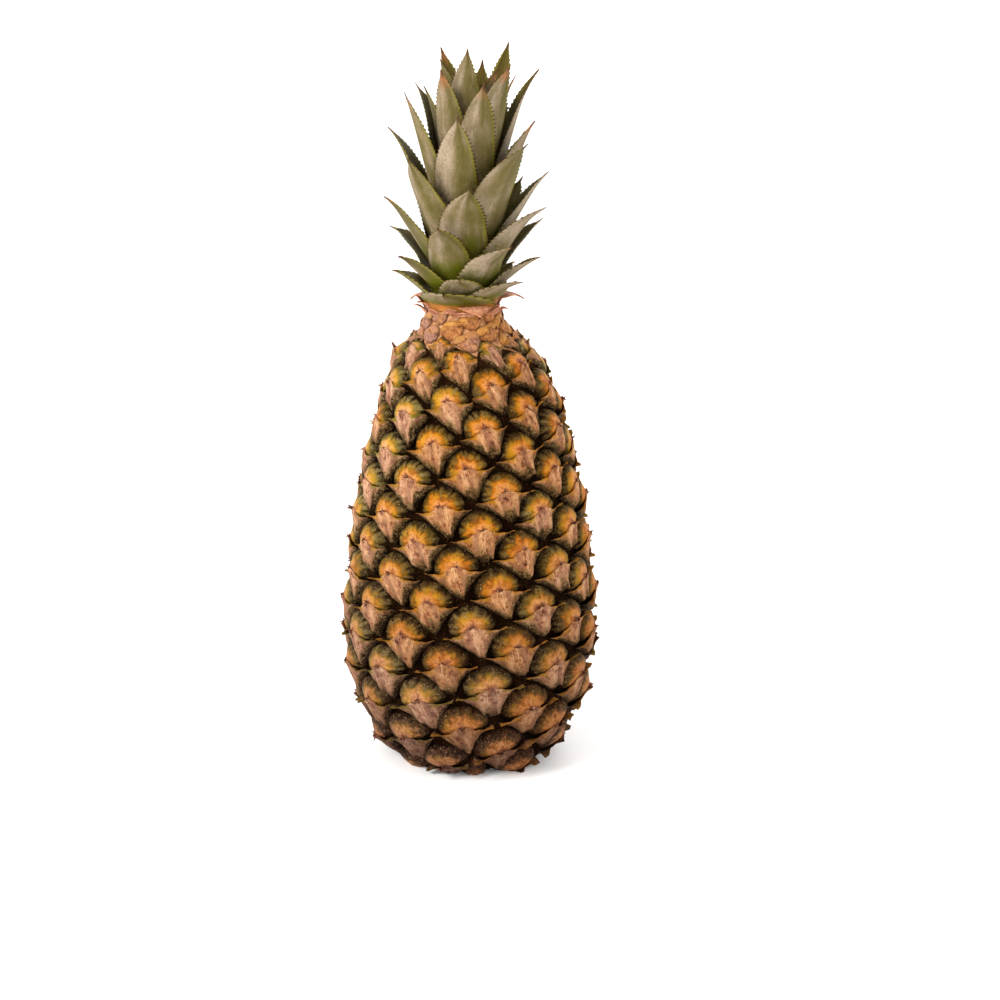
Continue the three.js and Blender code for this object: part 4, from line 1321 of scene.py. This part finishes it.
def make_crown():
    """Every leaf in place of its solid, the frill that they stand on, and the stem's fibres."""
    dice = np.random.default_rng(LEAF_SEED).random((LEAF_COUNT + 1, 6))
    fresh, dried = leaf_skin(), dry_leaf_skin()
    for leaf in range(1, LEAF_COUNT + 1):
        kind, skin = ("dry_bract", dried) if leaf <= DRY_LEAVES else ("crown_leaf", fresh)
        node = f"{kind}_{leaf:02d}"
        points, faces, places, facts, teeth = leaf_mesh(leaf, dice[leaf])
        known = [("leaf", facts), ("tooth", teeth)]
        piece = make_piece(f"fine_{node}", points, faces, skin, [("blade", places)], known)
        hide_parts(node)
    points, faces, places = frill_mesh()
    make_piece("neck_frill", points, faces, dried, [("blade", places)])
    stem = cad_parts["crown_stem"]
    stem.data.materials.clear()
    stem.data.materials.append(stem_fibre())


# ---------------------------------------------------------------- stage, light and camera
STUDIO_FLAT = 1.6  # metres of flat floor round the fruit
STUDIO_CURVE = 1.4  # radius of the bend up into the wall
STUDIO_HEIGHT = 2.4
FLOOR_RINGS = [0.3, 0.8]  # radii of the mesh's rings on the flat floor
BEND_STEPS = 16
FLOOR_SPOKES = 96


def make_floor():
    """A round studio: a flat floor that curves up all round into a wall, as rings about the upright axis."""
    angle = np.linspace(0, np.pi / 2, BEND_STEPS + 1)
    wall = STUDIO_FLAT + STUDIO_CURVE
    radius = np.concatenate([FLOOR_RINGS, STUDIO_FLAT + STUDIO_CURVE * np.sin(angle), [wall]])[:, None]
    flat = np.zeros(len(FLOOR_RINGS))
    height = np.concatenate([flat, STUDIO_CURVE * (1 - np.cos(angle)), [STUDIO_HEIGHT]])[:, None]
    turn = np.linspace(0, 2 * np.pi, FLOOR_SPOKES, endpoint=False)[None, :]
    points = np.stack([radius * np.sin(turn), radius * np.cos(turn), height + 0 * turn], -1)
    mesh = bpy.data.meshes.new("studio")
    faces = ring_faces(*points.shape[:2], 1)[:-1]  # all but the one that would close the top
    mesh.from_pydata(points.reshape(-1, 3).tolist(), [], faces)
    mesh.shade_smooth()
    mesh.materials.append(floor_paint())
    studio = bpy.data.objects.new("studio", mesh)
    bpy.context.scene.collection.objects.link(studio)


def make_light(name, place, aim, size, power, warmth):
    """A round area light at a place, turned to face aim."""
    light = bpy.data.lights.new(name, "AREA")
    light.shape = "DISK"
    light.size = size
    light.energy = power
    light.color = warmth
    lamp = bpy.data.objects.new(name, light)
    bpy.context.scene.collection.objects.link(lamp)
    lamp.location = place
    direction = Vector(aim) - Vector(place)
    lamp.rotation_euler = direction.to_track_quat("-Z", "Y").to_euler()


def make_lighting():
    """An even white sky, with a key light at the left, a weak fill at the right and one behind."""
    world = bpy.data.worlds.new("studio")
    bpy.context.scene.world = world
    world.use_nodes = True
    sky = world.node_tree.nodes["Background"]
    sky.inputs["Color"].default_value = (1, 1, 1, 1)
    sky.inputs["Strength"].default_value = 0.5
    middle = (0, 0, 0.15)
    make_light("key", (-0.95, -0.75, 0.9), middle, 0.6, 16, (1.0, 0.98, 0.95))
    make_light("fill", (1.1, -0.7, 0.5), middle, 0.9, 3, (1.0, 0.98, 0.96))
    make_light("back", (0.4, 1.0, 0.9), middle, 0.8, 6, (1.0, 1.0, 1.0))


# The camera looks at a point on the axis. Heights and distances are in metres, and lengths in millimetres.
CAMERA_AIM = 0.098
CAMERA_ELEVATION = 17.4  # degrees
CAMERA_DISTANCE = 0.853
CAMERA_LENS = 72
CAMERA_SENSOR = 36
CAMERA_SHIFT = (0.03, 0.033)  # of the picture, in picture widths


def make_camera():
    """The camera, in front of the fruit and looking a little down on it."""
    camera = bpy.data.cameras.new("camera")
    camera.sensor_width = CAMERA_SENSOR
    camera.lens = CAMERA_LENS
    camera.shift_x, camera.shift_y = CAMERA_SHIFT
    eye = bpy.data.objects.new("camera", camera)
    bpy.context.scene.collection.objects.link(eye)
    tilt = np.radians(CAMERA_ELEVATION)
    eye.location = (0, -CAMERA_DISTANCE * np.cos(tilt), CAMERA_AIM + CAMERA_DISTANCE * np.sin(tilt))
    eye.rotation_euler = (np.pi / 2 - tilt, 0, 0)
    bpy.context.scene.camera = eye


make_fruit()
make_crown()
make_floor()
make_lighting()
make_camera()
bpy.context.scene.view_settings.view_transform = "Standard"
bpy.context.scene.view_settings.look = "Medium High Contrast"
